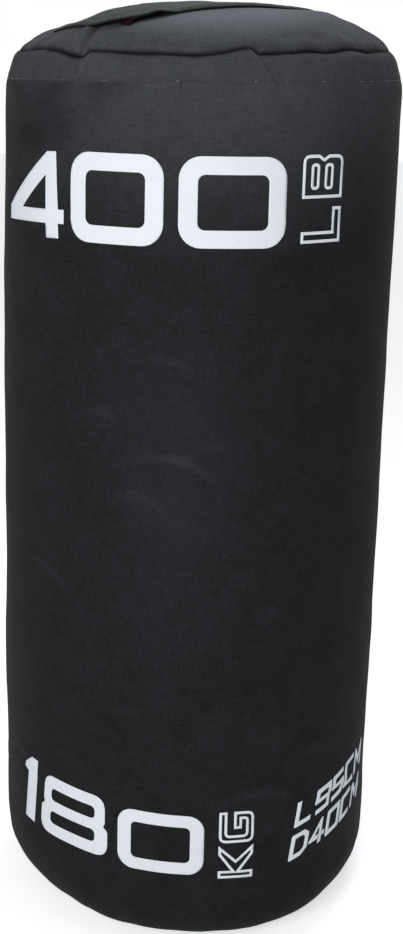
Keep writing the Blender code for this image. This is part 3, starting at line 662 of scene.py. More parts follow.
def crease_lift(turn, arc):
    """Lift of the creases: each a low ridge with a hollow beside it, bowed a little."""
    height = SHOULDER_Z - (arc - SHOULDER_ARC)
    lift = 0.0
    for middle, level_at, length, slope, depth in CREASES:
        aside, above, tilt = (turn - radians(middle)) * BAG_RADIUS, height - level_at, radians(slope)
        if max(abs(aside), abs(above)) > length:
            continue
        along = aside * cos(tilt) + above * sin(tilt)
        across = above * cos(tilt) - aside * sin(tilt) + CREASE_BOW * along * along / length
        wave = hump(across, CREASE_WIDTH) - CREASE_HOLLOW * hump(across + CREASE_HOLLOW_ASIDE, CREASE_WIDTH)
        lift += depth * wave * hump(2.2 * along, length)
    return lift


def lumps(place):
    return LUMP * noise.noise(place / LUMP_SIZE) + DENT * noise.noise(place / DENT_SIZE)


def folds(turn, run, width, length, start=0.0):
    """Noise in folds of this width round the bag, drawn out to this length down the skin."""
    circle = Vector((sin(turn), cos(turn), 0.0)) * BAG_RADIUS
    return noise.noise(circle / width + Vector((0.0, 0.0, start + run / length)))


def wall_lift(turn, arc):
    """How far the wall's cloth stands off the bag's even skin."""
    from_seam = arc - seam_arc(turn)
    lift = lumps(bag_point(turn, arc, 0.0)) + seam_dip(turn, from_seam) + tuck_lift(turn, arc)
    lift += swell(from_seam, *BAND_PUCKER) * folds(turn, from_seam, *BAND_FOLDS)
    lift -= swell(arc, TOPSTITCH_DIP, topstitch_arc(turn), TOPSTITCH_REACH)
    if SHOULDER_ARC < arc < WALL_ARC:
        lift += crease_lift(turn, arc)
    if arc > WALL_ARC - FOOT_BAND:
        lift += FOOT_PUCKER * folds(turn, arc, *FOOT_FOLDS) * ramp(arc, WALL_ARC - FOOT_BAND, FOOT_BAND)
        lift -= swell(arc, BASE_SEAM_DIP, BASE_SEAM_ARC, BASE_SEAM_REACH)
    lift += BACK_SEAM_RISE * ramp(BACK_SEAM_HALF, (pi - abs(turn)) * BAG_RADIUS, 0.0015)
    return max(lift, -0.0010) if from_seam > 0.006 else lift


def wall_turns():
    """Turns round the wall: fine at the tucks and the back seam, coarser in front, coarsest elsewhere."""
    places, turn = [], -pi
    while turn < pi - radians(0.4):
        places.append(turn)
        near_tuck = min(abs(turn - TUCK_LEFT + radians(1.5)), abs(turn - TUCK_RIGHT - radians(2.0)))
        fine = near_tuck < radians(4.5) or pi - abs(turn) < radians(3.0)
        turn += radians(0.38 if fine else 0.95 if abs(turn) < radians(75.0) else 1.9)
    return places + [pi]


def seam_side(turn, side, step):
    """Distances down the skin from the top seam to an even ring below it, side 1, or above it, side -1."""
    seam = seam_arc(turn) + side * SEWN_GAP / 2
    reach = TOP_SEAM_ARC + side * SEAM_BAND - seam
    parts = [0.0, 0.0006, 0.0012, 0.0019, 0.0027] + spread(0.0036, SEAM_BAND, step)
    return [seam + part * reach / SEAM_BAND for part in parts]


def thinned(rows, every, seam_rows):
    """Rows for a cloth's inner side, last one first: one in so many, one in three near the top seam."""
    kept = []
    for index, row in enumerate(rows):
        near_seam = index in seam_rows and index % 3 == 0
        if near_seam or index % every == 0 or index == len(rows) - 1:
            kept.append(row)
    return kept[::-1]


turns = wall_turns()
below = spread(TOP_SEAM_ARC + SEAM_BAND, WALL_ARC, WALL_STEP)[1:]
below += spread(WALL_ARC, BASE_SEAM_ARC - SEWN_GAP / 2, 0.006)[1:]
columns = [[(turn, arc) for arc in seam_side(turn, 1, 0.0012) + below] for turn in turns]
outer = list(zip(*columns))
inner = thinned(outer, 16, range(12))
rings = skin_rings([row[:-1] for row in outer], wall_lift)
rings += skin_rings([row[:-1] for row in inner],
                    lambda turn, arc: min(WALL_UNDER, wall_lift(turn, arc) - UNDER_GAP))
wall = add_rings("wall_cloth", rings, skin_places(outer + inner), shell_cloth, wrapped=True)


def add_wear(piece, places, shade_at, highlight_at):
    """Painted shade, with some dirt in seams, and painted highlights on a piece, from functions of the two
    numbers that place its points on the skin.
    """
    for name, share_at in (("shade_and_grime", shade_at), ("painted_highlight", highlight_at)):
        shares = [share_at(*place) for place in places]
        shares += [0.0] * (len(piece.data.vertices) - len(shares))
        piece.data.attributes.new(name, "FLOAT", "POINT").data.foreach_set("value", shares)


def seam_shade_and_grime(turn, arc):
    """Painted shade, with some dirt, in the top seam, and a little painted shade in the topstitching below
    it.
    """
    in_seam = swell(arc, SEAM_SHADE_SHARE, seam_arc(turn), SEAM_SHADE)
    return in_seam + (arc > TOP_SEAM_ARC) * swell(arc, STITCH_SHADE_SHARE, topstitch_arc(turn), 0.0011)


def wall_darkening(turn, arc):
    """The seam's painted shade and dirt, and a darker patch on the left below the topstitching."""
    low = ramp(arc, topstitch_arc(turn), 0.003) * (1 - ramp(arc, 0.268, 0.060))
    patchy = 1.0 + 0.9 * noise.noise(Vector((turn * BAG_RADIUS, arc, 3.0)) / 0.034)
    aside = ramp(-degrees(turn), 8.0 + 400.0 * (arc - TOPSTITCH_ARC), 22.0)
    aside *= ramp(degrees(turn), -170.0, 50.0)
    return seam_shade_and_grime(turn, arc) + LEFT_DARK_PATCH * low * patchy * aside


def wall_highlight(turn, arc):
    """Painted highlights on the tucks' ridges and the creases' ridges, and a faint painted sheen down the
    middle of the front.
    """
    left, right, down = inside_tucks(turn, arc)
    tucks = ramp(0.029, down, 0.010) * ramp(arc - seam_arc(turn), 0.002, 0.004)
    tucks *= swell(left, 1.0, 0.0013, 0.0012) + swell(right, 0.9, 0.0012, 0.0010)
    front_sheen = swell(degrees(turn), 1.0, *FRONT_SHEEN_MIDDLE) * swell(arc, 1.0, *FRONT_SHEEN_HIGH)
    ridge = 0.0
    if SHOULDER_ARC < arc < WALL_ARC:
        ridge = max(0.0, crease_lift(turn, arc) - 0.0003) / 0.0010
    return tucks + FRONT_SHEEN_SHARE * front_sheen + CREASE_HIGHLIGHT * ridge * (0.70 + front_sheen)


add_wear(wall, [place for row in outer for place in row[:-1]], wall_darkening, wall_highlight)
dress(wall, "bag", "shell_cloth", "side_panel")


def add_slab(name, places, at, over, under, material):
    """Closed sheet over a grid of places in metres. at gives a point from a place and a lift."""
    rows, columns = len(places), len(places[0])
    quads = []
    for row in range(rows - 1):
        for column in range(columns - 1):
            ring = [(row, column), (row, column + 1), (row + 1, column + 1), (row + 1, column)]
            quads.append([(0, *place) for place in ring])
            quads.append([(1, *place) for place in ring[::-1]])
    edge = [(0, column) for column in range(columns)] + [(row, columns - 1) for row in range(1, rows)]
    edge += [(rows - 1, column) for column in range(columns - 2, -1, -1)]
    edge += [(row, 0) for row in range(rows - 2, 0, -1)]
    for one, two in zip(edge, edge[1:] + edge[:1]):
        quads.append([(0, *two), (0, *one), (1, *one), (1, *two)])
    faces = [[(layer * rows + row) * columns + column for layer, row, column in quad] for quad in quads]
    corners = [places[row][column] for quad in quads for layer, row, column in quad]
    points = [at(*place, lift_at(*place)) for lift_at in (over, under) for row in places for place in row]
    return add_mesh(name, points, faces, corners, material)


back = pi * BAG_RADIUS
asides = spread(back - SIDE_TAPE_WIDTH / 2, back + SIDE_TAPE_WIDTH / 2, SIDE_TAPE_WIDTH / 6)
arcs = spread(SHOULDER_ARC + SIDE_TAPE_END, WALL_ARC - SIDE_TAPE_END, 0.040)
side_tape = add_slab("side_seam_inner_tape", [[(aside, arc) for aside in asides] for arc in arcs],
                     lambda aside, arc, lift: bag_point(aside / BAG_RADIUS, arc, lift),
                     level(SIDE_TAPE_LIFTS[0]), level(SIDE_TAPE_LIFTS[1]), tape_cloth)
dress(side_tape, "bag", "binding_tape", "side_seam_tape")


# Weight marks. White ink, screen-printed on the wall before it was sewn: wide plain figures for the
# load in pounds at the top and in kilograms at the foot, units in outline, and the size at the right.
INK_WHITE = "#dfe3ea"
INK_THIN = "#d4d7dd"
INK_THICKNESS, INK_LIFT = 0.00022, 0.00008
INK_STEPS = (0.0026, 0.0040)
FIGURE_STROKE = 0.0172
UNIT_LINE = 0.0028
CORNER_STEPS = 7
POUNDS_BASELINE, POUNDS_HEIGHT = 0.7295, 0.0810
KILOS_BASELINE, KILOS_HEIGHT = 0.0902, 0.0670
KILOS_SLOPE, KILOS_LEAN, KILOS_LEAN_START = -0.055, 1.1, -0.100
SLOPE_MIDDLE = 0.050
FOUR_SLOPE = 0.037
SIZE_ROWS = ("L95CM", "D40CM")
SIZE_LEFT, SIZE_LOW = 0.1145, 0.0812
SIZE_TALL, SIZE_WIDE, SIZE_PITCH, SIZE_ROW = 0.0235, 0.0190, 0.0264, 0.0375
SIZE_STROKE, SIZE_CORNER = 0.0052, 0.0022
SIZE_SLOPE, SIZE_LEAN = 0.20, 0.16
# Centre lines of the size mark's signs, across and up as shares of their width and height.
SIZE_SIGNS = {
    "4": (((0.74, -0.11), (0.74, 1.0), (0.0, 0.26), (0.56, 0.26)), ((0.92, 0.26), (1.12, 0.26))),
    "0": (((0.0, 0.0), (1.0, 0.0), (1.0, 1.0), (0.0, 1.0), (0.0, 0.0)),),
    "D": (((0.0, 0.0), (0.7, 0.0), (1.0, 0.2), (1.0, 0.8), (0.7, 1.0), (0.0, 1.0), (0.0, 0.0)),),
    "L": (((0.0, 1.1), (0.0, 0.0), (1.0, 0.0)),),
    "9": (((0.84, 0.5), (0.0, 0.5), (0.0, 1.0), (1.0, 1.0), (1.0, 0.0), (0.0, 0.0)),),
    "5": (((1.0, 1.0), (0.0, 1.0), (0.0, 0.54), (1.0, 0.54), (1.0, 0.0), (0.0, 0.0)),),
    "C": (((1.0, 1.0), (0.0, 1.0), (0.0, 0.0), (1.0, 0.0)),),
    "M": (((0.0, -0.11), (0.0, 1.0), (0.5, 0.30), (1.0, 1.0), (1.0, -0.11)),),
}


def white_ink():
    """Thick water-based ink on cloth: nearly opaque, slightly broken where the yarns dip."""
    tree, spot = start_material("screen_print_white")
    warp, weft = plain_weave(tree, spot["UV"], YARN, {"Distortion": 0.5})
    weave = add_node(tree, "ShaderNodeMath", {0: warp, 1: weft}, operation="MULTIPLY")
    wear = add_node(tree, "ShaderNodeTexNoise",
                    {"Vector": spot["Object"], "Scale": 55.0, "Detail": 6.0, "Roughness": 0.7})
    share = add_node(tree, "ShaderNodeMapRange", {0: wear, 1: 0.55, 2: 0.85})
    colour = add_node(tree, "ShaderNodeMix", {0: share, 6: INK_WHITE, 7: INK_THIN}, data_type="RGBA")
    return finish_material("screen_print_white", colour.outputs[2], weave, 0.00006, 0.60,
                           Specular_IOR_Level=0.15)


def box_loop(left, low, right, high, radius):
    """Rectangle with round corners, as points in order."""
    loop = []
    for x, y, start in ((right, high, 0.0), (left, high, 90.0), (left, low, 180.0), (right, low, 270.0)):
        middle_x = x - radius if x == right else x + radius
        middle_y = y - radius if y == high else y + radius
        for step in range(CORNER_STEPS + 1):
            angle = radians(start + 90.0 * step / CORNER_STEPS)
            loop.append((middle_x + radius * cos(angle), middle_y + radius * sin(angle)))
    return loop


def rounded(corners, radii):
    """Outline through corners, each rounded off by its radius."""
    loop = []
    for index, (corner, radius) in enumerate(zip(corners, radii)):
        here = Vector(corner)
        before, after = Vector(corners[index - 1]) - here, Vector(corners[(index + 1) % len(corners)]) - here
        if radius == 0.0:
            loop.append(corner)
            continue
        reach = min(radius / tan(before.angle(after) / 2), 0.49 * before.length, 0.49 * after.length)
        one, two = here + before.normalized() * reach, here + after.normalized() * reach
        for step in range(CORNER_STEPS + 1):
            share = step / CORNER_STEPS
            curve = one * (1 - share) ** 2 + here * 2 * share * (1 - share) + two * share ** 2
            loop.append(tuple(curve))
    return loop


def corner_normal(before, after):
    """Direction to the left-hand side of a line at its corner, and how far that leads off its parts."""
    one, two = before.normalized(), after.normalized()
    normal = Vector((-one.y - two.y, one.x + two.x)).normalized()
    return normal, normal.dot(Vector((-one.y, one.x)))


def inset(loop, width):
    """The same outline moved to its left-hand side by a width."""
    inner = []
    for index, place in enumerate(loop):
        here = Vector(place)
        before, after = here - Vector(loop[index - 1]), Vector(loop[(index + 1) % len(loop)]) - here
        if min(before.length, after.length) >= 1e-7:
            normal, stretch = corner_normal(before, after)
            inner.append(tuple(here + normal * width / max(0.4, stretch)))
    return inner


def ribbon(path, width):
    """Outline of a line of this width along a path, with square ends."""
    sides = [], []
    for index, place in enumerate(path):
        here = Vector(place)
        before = here - Vector(path[max(index - 1, 0)])
        after = Vector(path[min(index + 1, len(path) - 1)]) - here
        normal, stretch = corner_normal(before if index else after, after if after.length else before)
        reach = width / 2 / max(0.5, stretch)
        for side, sign in zip(sides, (1, -1)):
            side.append(tuple(here + normal * reach * sign))
    return sides[0] + sides[1][::-1]


def figure_zero(left, width, height):
    stroke = FIGURE_STROKE * height / POUNDS_HEIGHT
    low = 0.93 * stroke
    return [box_loop(left, 0.0, left + width, height, 0.25 * height),
            box_loop(left + stroke, low, left + width - stroke, height - low, 0.085 * height)]


def figure_four(left, low, height):
    """A four with a slanting arm and a bar that rises a little to the right."""
    wide, bar, stem, join = 0.0995, 0.0135, 0.0172, 0.0265
    side = wide - 0.0075
    outline = [(0.0, bar), (0.0, bar + 0.0125), (0.0768, height), (side - 0.0030, height), (side, join),
               (wide, join), (wide, bar), (side, bar), (side + 0.0010, 0.0), (side - stem + 0.0010, 0.0),
               (side - stem, bar)]
    hole = [(0.0325, join), (side - stem, join), (side - stem, 0.0580)]
    return [[(left + x, low + y + FOUR_SLOPE * x) for x, y in loop] for loop in (outline, hole)]


def figure_one(height):
    return [[(0.0, height - 0.012), (0.0145, height), (0.0265, height), (0.0265, 0.0), (0.0085, 0.0),
             (0.0085, height - 0.0195), (0.0, height - 0.0175)]]


def figure_eight(left, width, height):
    """Two stacked boxes with a nick on each side between them, and a hole in each."""
    half, nick, stroke = height / 2, 0.004, 0.0148
    corners = [(left, 0.0), (left + width, 0.0), (left + width, half - nick), (left + width - 0.005, half),
               (left + width - 0.003, half + nick), (left + width - 0.003, height), (left + 0.003, height),
               (left + 0.003, half + nick), (left + 0.005, half), (left, half - nick)]
    outline = rounded(corners, [0.016, 0.016, 0.008, 0.002, 0.008] * 2)
    lower = box_loop(left + stroke, stroke * 0.9, left + width - stroke, half - stroke * 0.42, 0.005)
    upper = box_loop(left + stroke, half + stroke * 0.42, left + width - stroke, height - stroke * 0.9, 0.005)
    return [outline, lower, upper]


def moved(loops, x, y):
    return [[(x + across, y + up) for across, up in loop] for loop in loops]


def outlined(outline, *holes):
    """An outline and its holes, each with the inner edge of the line drawn along it."""
    return [outline, inset(outline, UNIT_LINE)] + [
        loop for hole in holes for loop in (hole, inset(hole, -UNIT_LINE))]


def letter_l(wide, tall, body):
    return outlined([(0.0, 0.0), (wide, 0.0), (wide, body), (body, body), (body, tall), (0.0, tall)])


def letter_b(wide, tall, body):
    half, nick = tall / 2, 0.0050
    corners = [(0.0, 0.0), (wide, 0.0), (wide, half - nick), (wide - 0.0034, half), (wide, half + nick),
               (wide, tall), (0.0, tall)]
    outline = rounded(corners, [0.0, 0.008, 0.005, 0.001, 0.005, 0.008, 0.0])
    return outlined(outline, box_loop(body, 0.0143, wide - body, 0.0187, 0.001),
                    box_loop(body, 0.0303, wide - body, 0.0340, 0.001))


def letter_k(wide, tall, body):
    half, foot = tall / 2, wide - body * 1.25
    return outlined([(0.0, 0.0), (body, 0.0), (body, half - body * 0.55), (foot, 0.0), (wide, 0.0),
                     (wide * 0.55, half), (wide, tall), (foot, tall), (body, half + body * 0.55),
                     (body, tall), (0.0, tall)])


def letter_g(wide, tall, body):
    bar, inner, middle = tall * 0.58, wide - body, wide * 0.45
    corners = [(0.0, 0.0), (wide, 0.0), (wide, bar), (middle, bar), (middle, bar - body),
               (inner, bar - body), (inner, body), (body, body), (body, tall - body), (wide, tall - body),
               (wide, tall), (0.0, tall)]
    return outlined(rounded(corners, [0.008] * 2 + [0.0] * 4 + [0.003] * 3 + [0.0] * 2 + [0.008]))


def upward(loops, right, foot):
    """Turned a quarter to read upwards, with the baseline at the right and the first letter at the foot."""
    return [[(right - y, foot + x) for x, y in loop] for loop in loops]


def size_row(signs, low):
    """One row of the size mark."""
    loops = []
    for place, sign in enumerate(signs):
        left = SIZE_LEFT + place * SIZE_PITCH
        for path in SIZE_SIGNS[sign]:
            middle = [(left + x * SIZE_WIDE, low + y * SIZE_TALL) for x, y in path]
            if path[0] == path[-1]:
                sides = [inset(middle[:-1], side * SIZE_STROKE / 2) for side in (-1, 1)]
                loops += [rounded(side, [SIZE_CORNER] * len(side)) for side in sides]
                continue
            bends = [0.0] + [SIZE_CORNER] * (len(path) - 2) + [0.0]
            loops.append(rounded(ribbon(middle, SIZE_STROKE), bends * 2))
    return loops


def filled(name, loops, merged, extrude=0.0):
    """Shape filled between outlines. Points closer than the merged distance become one."""
    flat = bpy.data.curves.new(name + "_outline", "CURVE")
    flat.dimensions = "2D"
    flat.fill_mode = "BOTH"
    flat.extrude = extrude
    for loop in loops:
        spline = flat.splines.new("POLY")
        spline.points.add(len(loop) - 1)
        for point, place in zip(spline.points, loop):
            point.co = (*place, 0.0, 1.0)
        spline.use_cyclic_u = True
    outline = add_object(name + "_outline", flat)
    shape = bmesh.new()
    shape.from_mesh(bpy.data.meshes.new_from_object(outline))
    bpy.data.objects.remove(outline)
    bmesh.ops.remove_doubles(shape, verts=shape.verts, dist=merged)
    return shape


def add_mark(name, loops, baseline, slope=0.0, lean_at=lambda across: 0.0):
    """Film of ink on the wall, filled between outlines that are given across and up in metres."""
    shape = filled(name, loops, 0.00002)
    for axis, step in enumerate(INK_STEPS):
        values = [vert.co[axis] for vert in shape.verts]
        normal = Vector((1.0 - axis, float(axis), 0.0))
        for place in spread(min(values), max(values), step)[1:-1]:
            everything = shape.verts[:] + shape.edges[:] + shape.faces[:]
            bmesh.ops.bisect_plane(shape, geom=everything, plane_co=normal * place, plane_no=normal)
    points, heights = [], []
    for vert in shape.verts:
        across, up = vert.co.xy
        turn = (across + lean_at(across) * up) / BAG_RADIUS
        arc = SHOULDER_ARC + SHOULDER_Z - (baseline + slope * (across - SLOPE_MIDDLE) + up)
        points.append(bag_point(turn, arc, wall_lift(turn, arc) + INK_LIFT))
        heights.append((turn * BAG_RADIUS, -arc))
    shape.verts.index_update()
    faces = [[vert.index for vert in face.verts] for face in shape.faces]
    mark = add_mesh(name, points, faces, [heights[index] for face in faces for index in face], ink)
    shape.clear()
    shape.from_mesh(mark.data)
    shape.faces.ensure_lookup_table()
    middle = shape.faces[0].calc_center_median()
    if shape.faces[0].normal.dot(Vector((middle.x, middle.y, 0.0))) < 0:
        bmesh.ops.reverse_faces(shape, faces=shape.faces)
        shape.to_mesh(mark.data)
    shape.free()
    film = mark.modifiers.new("ink", "SOLIDIFY")
    film.thickness = INK_THICKNESS
    film.offset = 1.0
    dress(mark, "bag", "shell_cloth")


ink = white_ink()
pounds = figure_four(-0.2346, -0.0032, POUNDS_HEIGHT - 0.0018) + figure_zero(-0.1262, 0.0945, POUNDS_HEIGHT)
pounds += figure_zero(-0.0182, 0.0990, POUNDS_HEIGHT)
add_mark("mark_400", pounds, POUNDS_BASELINE)
units = letter_l(0.0325, 0.0460, 0.0105) + moved(letter_b(0.0390, 0.0460, 0.0105), 0.0405, 0.0)
add_mark("mark_lb", upward(units, 0.1430, 0.0030), POUNDS_BASELINE)
kilos = moved(figure_one(KILOS_HEIGHT + 0.0070), -0.2100, 0.0036)
kilos += moved(figure_eight(-0.1720, 0.0895, KILOS_HEIGHT), 0.0, 0.0042)
kilos += figure_zero(-0.0710, 0.0890, KILOS_HEIGHT)
add_mark("mark_180", kilos, KILOS_BASELINE, KILOS_SLOPE,
         lambda across: KILOS_LEAN * max(0.0, KILOS_LEAN_START - across))
units = letter_k(0.0380, 0.0370, 0.0085) + moved(letter_g(0.0348, 0.0370, 0.0085), 0.0410, 0.0)
add_mark("mark_kg", upward(units, 0.0700, -0.0040), KILOS_BASELINE, KILOS_SLOPE)
size_mark = size_row(SIZE_ROWS[0], SIZE_ROW) + size_row(SIZE_ROWS[1], 0.0)
add_mark("mark_size", size_mark, SIZE_LOW, SIZE_SLOPE, lambda across: SIZE_LEAN)


# Stitches. Bonded polyester thread, dark grey, sewn in straight lockstitch. Where the needle has worn the
# cloth's coating a stitch looks pale. One tree of nodes lays them along a path.
STITCH_LENGTH, STITCH_THICKNESS = 0.0034, 0.0005
STITCH_PITCH, STITCH_UNEVENNESS = 0.0043, 0.05
STITCH_SIDES = 6
# A stitch rises from the cloth, runs level and goes down again: places along it, lifts and widths.
STITCH_LINE = ((-0.5, -0.9, 0.5), (-0.36, 0.25, 1.0), (0.0, 0.55, 1.1), (0.36, 0.25, 1.0), (0.5, -0.9, 0.5))
BACK_STITCH_ASIDE = 0.0038
BACK_STITCH_STEP = 0.006
THREAD_DARK = "#232427"
THREAD_PALE = "#75777b"


def row_tree():
    """Node tree that lays a small unit along each line of a path, square to its tangent and its skin."""
    tree = bpy.data.node_groups.new("units_along_a_path", "GeometryNodeTree")
    for name, kind in (("Path", "Geometry"), ("Unit", "Object"), ("Pitch", "Float"), ("Unevenness", "Float"),
                       ("Seed", "Int"), ("Finish", "Material")):
        tree.interface.new_socket(name, in_out="INPUT", socket_type="NodeSocket" + kind)
    tree.interface.new_socket("Row", in_out="OUTPUT", socket_type="NodeSocketGeometry")
    given = add_node(tree, "NodeGroupInput").outputs
    line = add_node(tree, "GeometryNodeMeshToCurve", {0: given["Path"]})
    evenly = add_node(tree, "GeometryNodeResampleCurve", {"Curve": line, "Length": given["Pitch"]},
                      mode="LENGTH")
    skin = add_node(tree, "GeometryNodeInputNamedAttribute", {"Name": "skin"}, data_type="FLOAT_VECTOR")
    tangent = add_node(tree, "GeometryNodeInputTangent")
    turn = add_node(tree, "FunctionNodeAxesToRotation", {0: skin, 1: tangent},
                    primary_axis="Z", secondary_axis="X")
    less = add_node(tree, "ShaderNodeMath", {0: given["Unevenness"], 1: -1.0}, operation="MULTIPLY")
    tilt = add_node(tree, "FunctionNodeRandomValue", {2: less, 3: given["Unevenness"], "Seed": given["Seed"]})
    twist = add_node(tree, "ShaderNodeCombineXYZ", {2: tilt.outputs[1]})
    spin = add_node(tree, "FunctionNodeEulerToRotation", {0: twist})
    turned = add_node(tree, "FunctionNodeRotateRotation", {0: turn, 1: spin}, rotation_space="LOCAL")
    unit = add_node(tree, "GeometryNodeObjectInfo", {"Object": given["Unit"]}).outputs["Geometry"]
    row = add_node(tree, "GeometryNodeInstanceOnPoints",
                   {"Points": evenly, "Instance": unit, "Rotation": turned})
    tone = add_node(tree, "FunctionNodeRandomValue", {2: 0.0, 3: 1.0, "Seed": given["Seed"]}).outputs[1]
    marked = add_node(tree, "GeometryNodeStoreNamedAttribute",
                      {"Geometry": row, "Name": "fleck", "Value": tone}, data_type="FLOAT", domain="INSTANCE")
    real = add_node(tree, "GeometryNodeRealizeInstances", {0: marked})
    painted = add_node(tree, "GeometryNodeSetMaterial", {"Geometry": real, "Material": given["Finish"]})
    add_node(tree, "NodeGroupOutput", {0: painted})
    return tree


unit_rows = row_tree()


def add_row(name, paths, unit, pitch, unevenness, material, body):
    """Mesh of units along paths, each a list of points with the skin's outward direction there."""
    points, edges, skins = [], [], []
    for path in paths:
        edges += [(len(points) + step, len(points) + step + 1) for step in range(len(path) - 1)]
        points += [point for point, skin in path]
        skins += [value for point, skin in path for value in skin]
    line = bpy.data.meshes.new(name + "_path")
    line.from_pydata(points, edges, [])
    line.attributes.new("skin", "FLOAT_VECTOR", "POINT").data.foreach_set("vector", skins)
    holder, laid_unit = add_object(name + "_path", line), add_object(name + "_unit", unit)
    laid = holder.modifiers.new("row", "NODES")
    laid.node_group = unit_rows
    values = {"Unit": laid_unit, "Pitch": pitch, "Unevenness": unevenness, "Seed": 7, "Finish": material}
    for item in unit_rows.interface.items_tree:
        if item.name in values:
            laid[item.identifier] = values[item.name]
    mesh = bpy.data.meshes.new_from_object(holder.evaluated_get(bpy.context.evaluated_depsgraph_get()))
    for spent in (holder, laid_unit):
        bpy.data.objects.remove(spent)
    mesh.name = name
    piece = add_object(name, mesh)
    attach(piece, body)
    return piece


def add_prism(shape, rings):
    """Closed body added to a shape, along rings of points, with its two ends filled."""
    rings = [[shape.verts.new(point) for point in ring] for ring in rings]
    for one, two in zip(rings, rings[1:]):
        for side in range(len(one)):
            shape.faces.new((one[side - 1], one[side], two[side], two[side - 1]))
    shape.faces.new(rings[0][::-1])
    shape.faces.new(rings[-1])
    bmesh.ops.recalc_face_normals(shape, faces=shape.faces)


def finished_mesh(name, shape):
    """Smooth mesh of a shape, which is used up."""
    mesh = bpy.data.meshes.new(name)
    shape.to_mesh(mesh)
    shape.free()
    mesh.shade_smooth()
    return mesh


def stitch_unit():
    """One stitch, a short thread, a little flattened."""
    shape = bmesh.new()
    angles = [side * tau / STITCH_SIDES for side in range(STITCH_SIDES)]
    rings = []
    for along, lift, width in STITCH_LINE:
        reach = STITCH_THICKNESS * width * 0.5
        rings.append([(along * STITCH_LENGTH, reach * cos(angle) * 1.3,
                       reach * sin(angle) + lift * STITCH_THICKNESS) for angle in angles])
    add_prism(shape, rings)
    return finished_mesh("stitch_unit", shape)


def bonded_thread():
    """Twisted and bonded thread: a fine slanting twist and a low shine."""
    tree, spot = start_material("bonded_polyester_thread")
    fleck = add_node(tree, "ShaderNodeAttribute", attribute_name="fleck").outputs["Fac"]
    pale = add_node(tree, "ShaderNodeMapRange", {0: fleck, 1: 0.89, 2: 1.0})
    twist = add_node(tree, "ShaderNodeTexWave", {"Vector": spot["Object"], "Scale": 400.0},
                     bands_direction="DIAGONAL")
    colour = add_node(tree, "ShaderNodeMix", {0: pale, 6: THREAD_DARK, 7: THREAD_PALE}, data_type="RGBA")
    return finish_material("bonded_polyester_thread", colour.outputs[2], twist, 0.0001, 0.5)


stitch, thread = stitch_unit(), bonded_thread()


def sew(name, paths, body):
    """Row of stitches along each path."""
    add_row(name, paths, stitch, STITCH_PITCH, STITCH_UNEVENNESS, thread, body)


def lined(places, at, lift_at):
    """Path over places, each point with the direction out of the skin. at gives a place's point."""
    path = []
    for place in places:
        out = at(*place, 0.01) - at(*place, 0.0)
        path.append((at(*place, lift_at(*place)), out.normalized()))
    return path


places = [(turn, topstitch_arc(turn)) for turn in spread(-pi, pi, radians(0.7))]
sew("top_seam_topstitch", [lined(places, bag_point, wall_lift)], "bag")
back_rows = []
for side in (-1, 1):
    turn = side * (pi - BACK_STITCH_ASIDE / BAG_RADIUS)
    arcs = spread(seam_arc(pi) + 0.006, BASE_SEAM_ARC - 0.004, BACK_STITCH_STEP)
    back_rows.append(lined([(turn, arc) for arc in arcs], bag_point, wall_lift))
sew("back_seam_stitches", back_rows, "bag")


# Top round. The same polyester but greyer, cut round and domed over the sand, its crown painted lighter
# where the light from above falls. A long slot for the zip runs across it, with its edges turned in, and a
# tape covers the seam from the inside.
SLOT_HALF, SLOT_HALF_WIDTH, SLOT_END_RUN = 0.1283, 0.0073, 0.075
TOP_GROUND = "#383a3d"
TOP_THREAD = "#444649"
# Painted light: the highest part of the crown is drawn lighter, where the lamp above falls on it.
CROWN_LIGHT = (0.902, 0.930, "#525559", "#5e6166")
TOP_TAPE_LIFTS = (-0.0058, -0.0064)
CALM_HALF, CALM_ACROSS, CALM_EDGE = 0.150, (0.064, 0.056), 0.022
DOME_LUMP_SHARE = 0.9
DOME_PUCKER, DOME_FOLDS = (0.0021, -0.012, 0.014), (0.021, 0.045, 5.0)
# Folds of the dome at the tucks: turn, slant, how far each runs from the seam, and depth.
DOME_TUCKS = ((radians(-34.4), 0.55, 0.055, 0.0036), (TUCK_RIGHT, -3.2, 0.018, 0.0018))
FOLD_WIDTH, FOLD_RIDGE, FOLD_RIDGE_ASIDE, FOLD_RIDGE_WIDTH = 0.0028, 0.7, 0.007, 0.005
FOLD_RIGHT, FOLD_RIGHT_SLANT, FOLD_RIGHT_RADIUS = radians(43.0), -10.5, 0.085
FOLD_RIGHT_DIP = (0.0016, 0.003, 0.0045)
# Painted shade in and beyond the right fold, and below the right of the crown.
FOLD_SHADE, RIGHT_CROWN_SHADE = 0.30, 0.22

top_cloth = woven_cloth("woven_polyester_grey_lit_crown", TOP_GROUND, TOP_THREAD, YARN, 0.00012, 0.70, 0.06,
                        CROWN_LIGHT)


def over_crown(along, across):
    """Flat place, seen from above, of distances along and across the closure on the crown's curve."""
    belt = sqrt(CROWN_RADIUS ** 2 - across ** 2)
    return ALONG * (belt * sin(along / CROWN_RADIUS)) + ACROSS * across


def on_crown(along, across, lift):
    """Point over the domed top, placed by its distances along and across the closure."""
    flat = over_crown(along, across)
    return bag_point(atan2(flat.x, -flat.y), CROWN_RADIUS * asin(flat.length / CROWN_RADIUS), lift)


def past_fold(turn, arc):
    """Distance to the right of the slanting fold on the right shoulder."""
    return (turn - FOLD_RIGHT - FOLD_RIGHT_SLANT * (arc - TOP_SEAM_ARC)) * FOLD_RIGHT_RADIUS


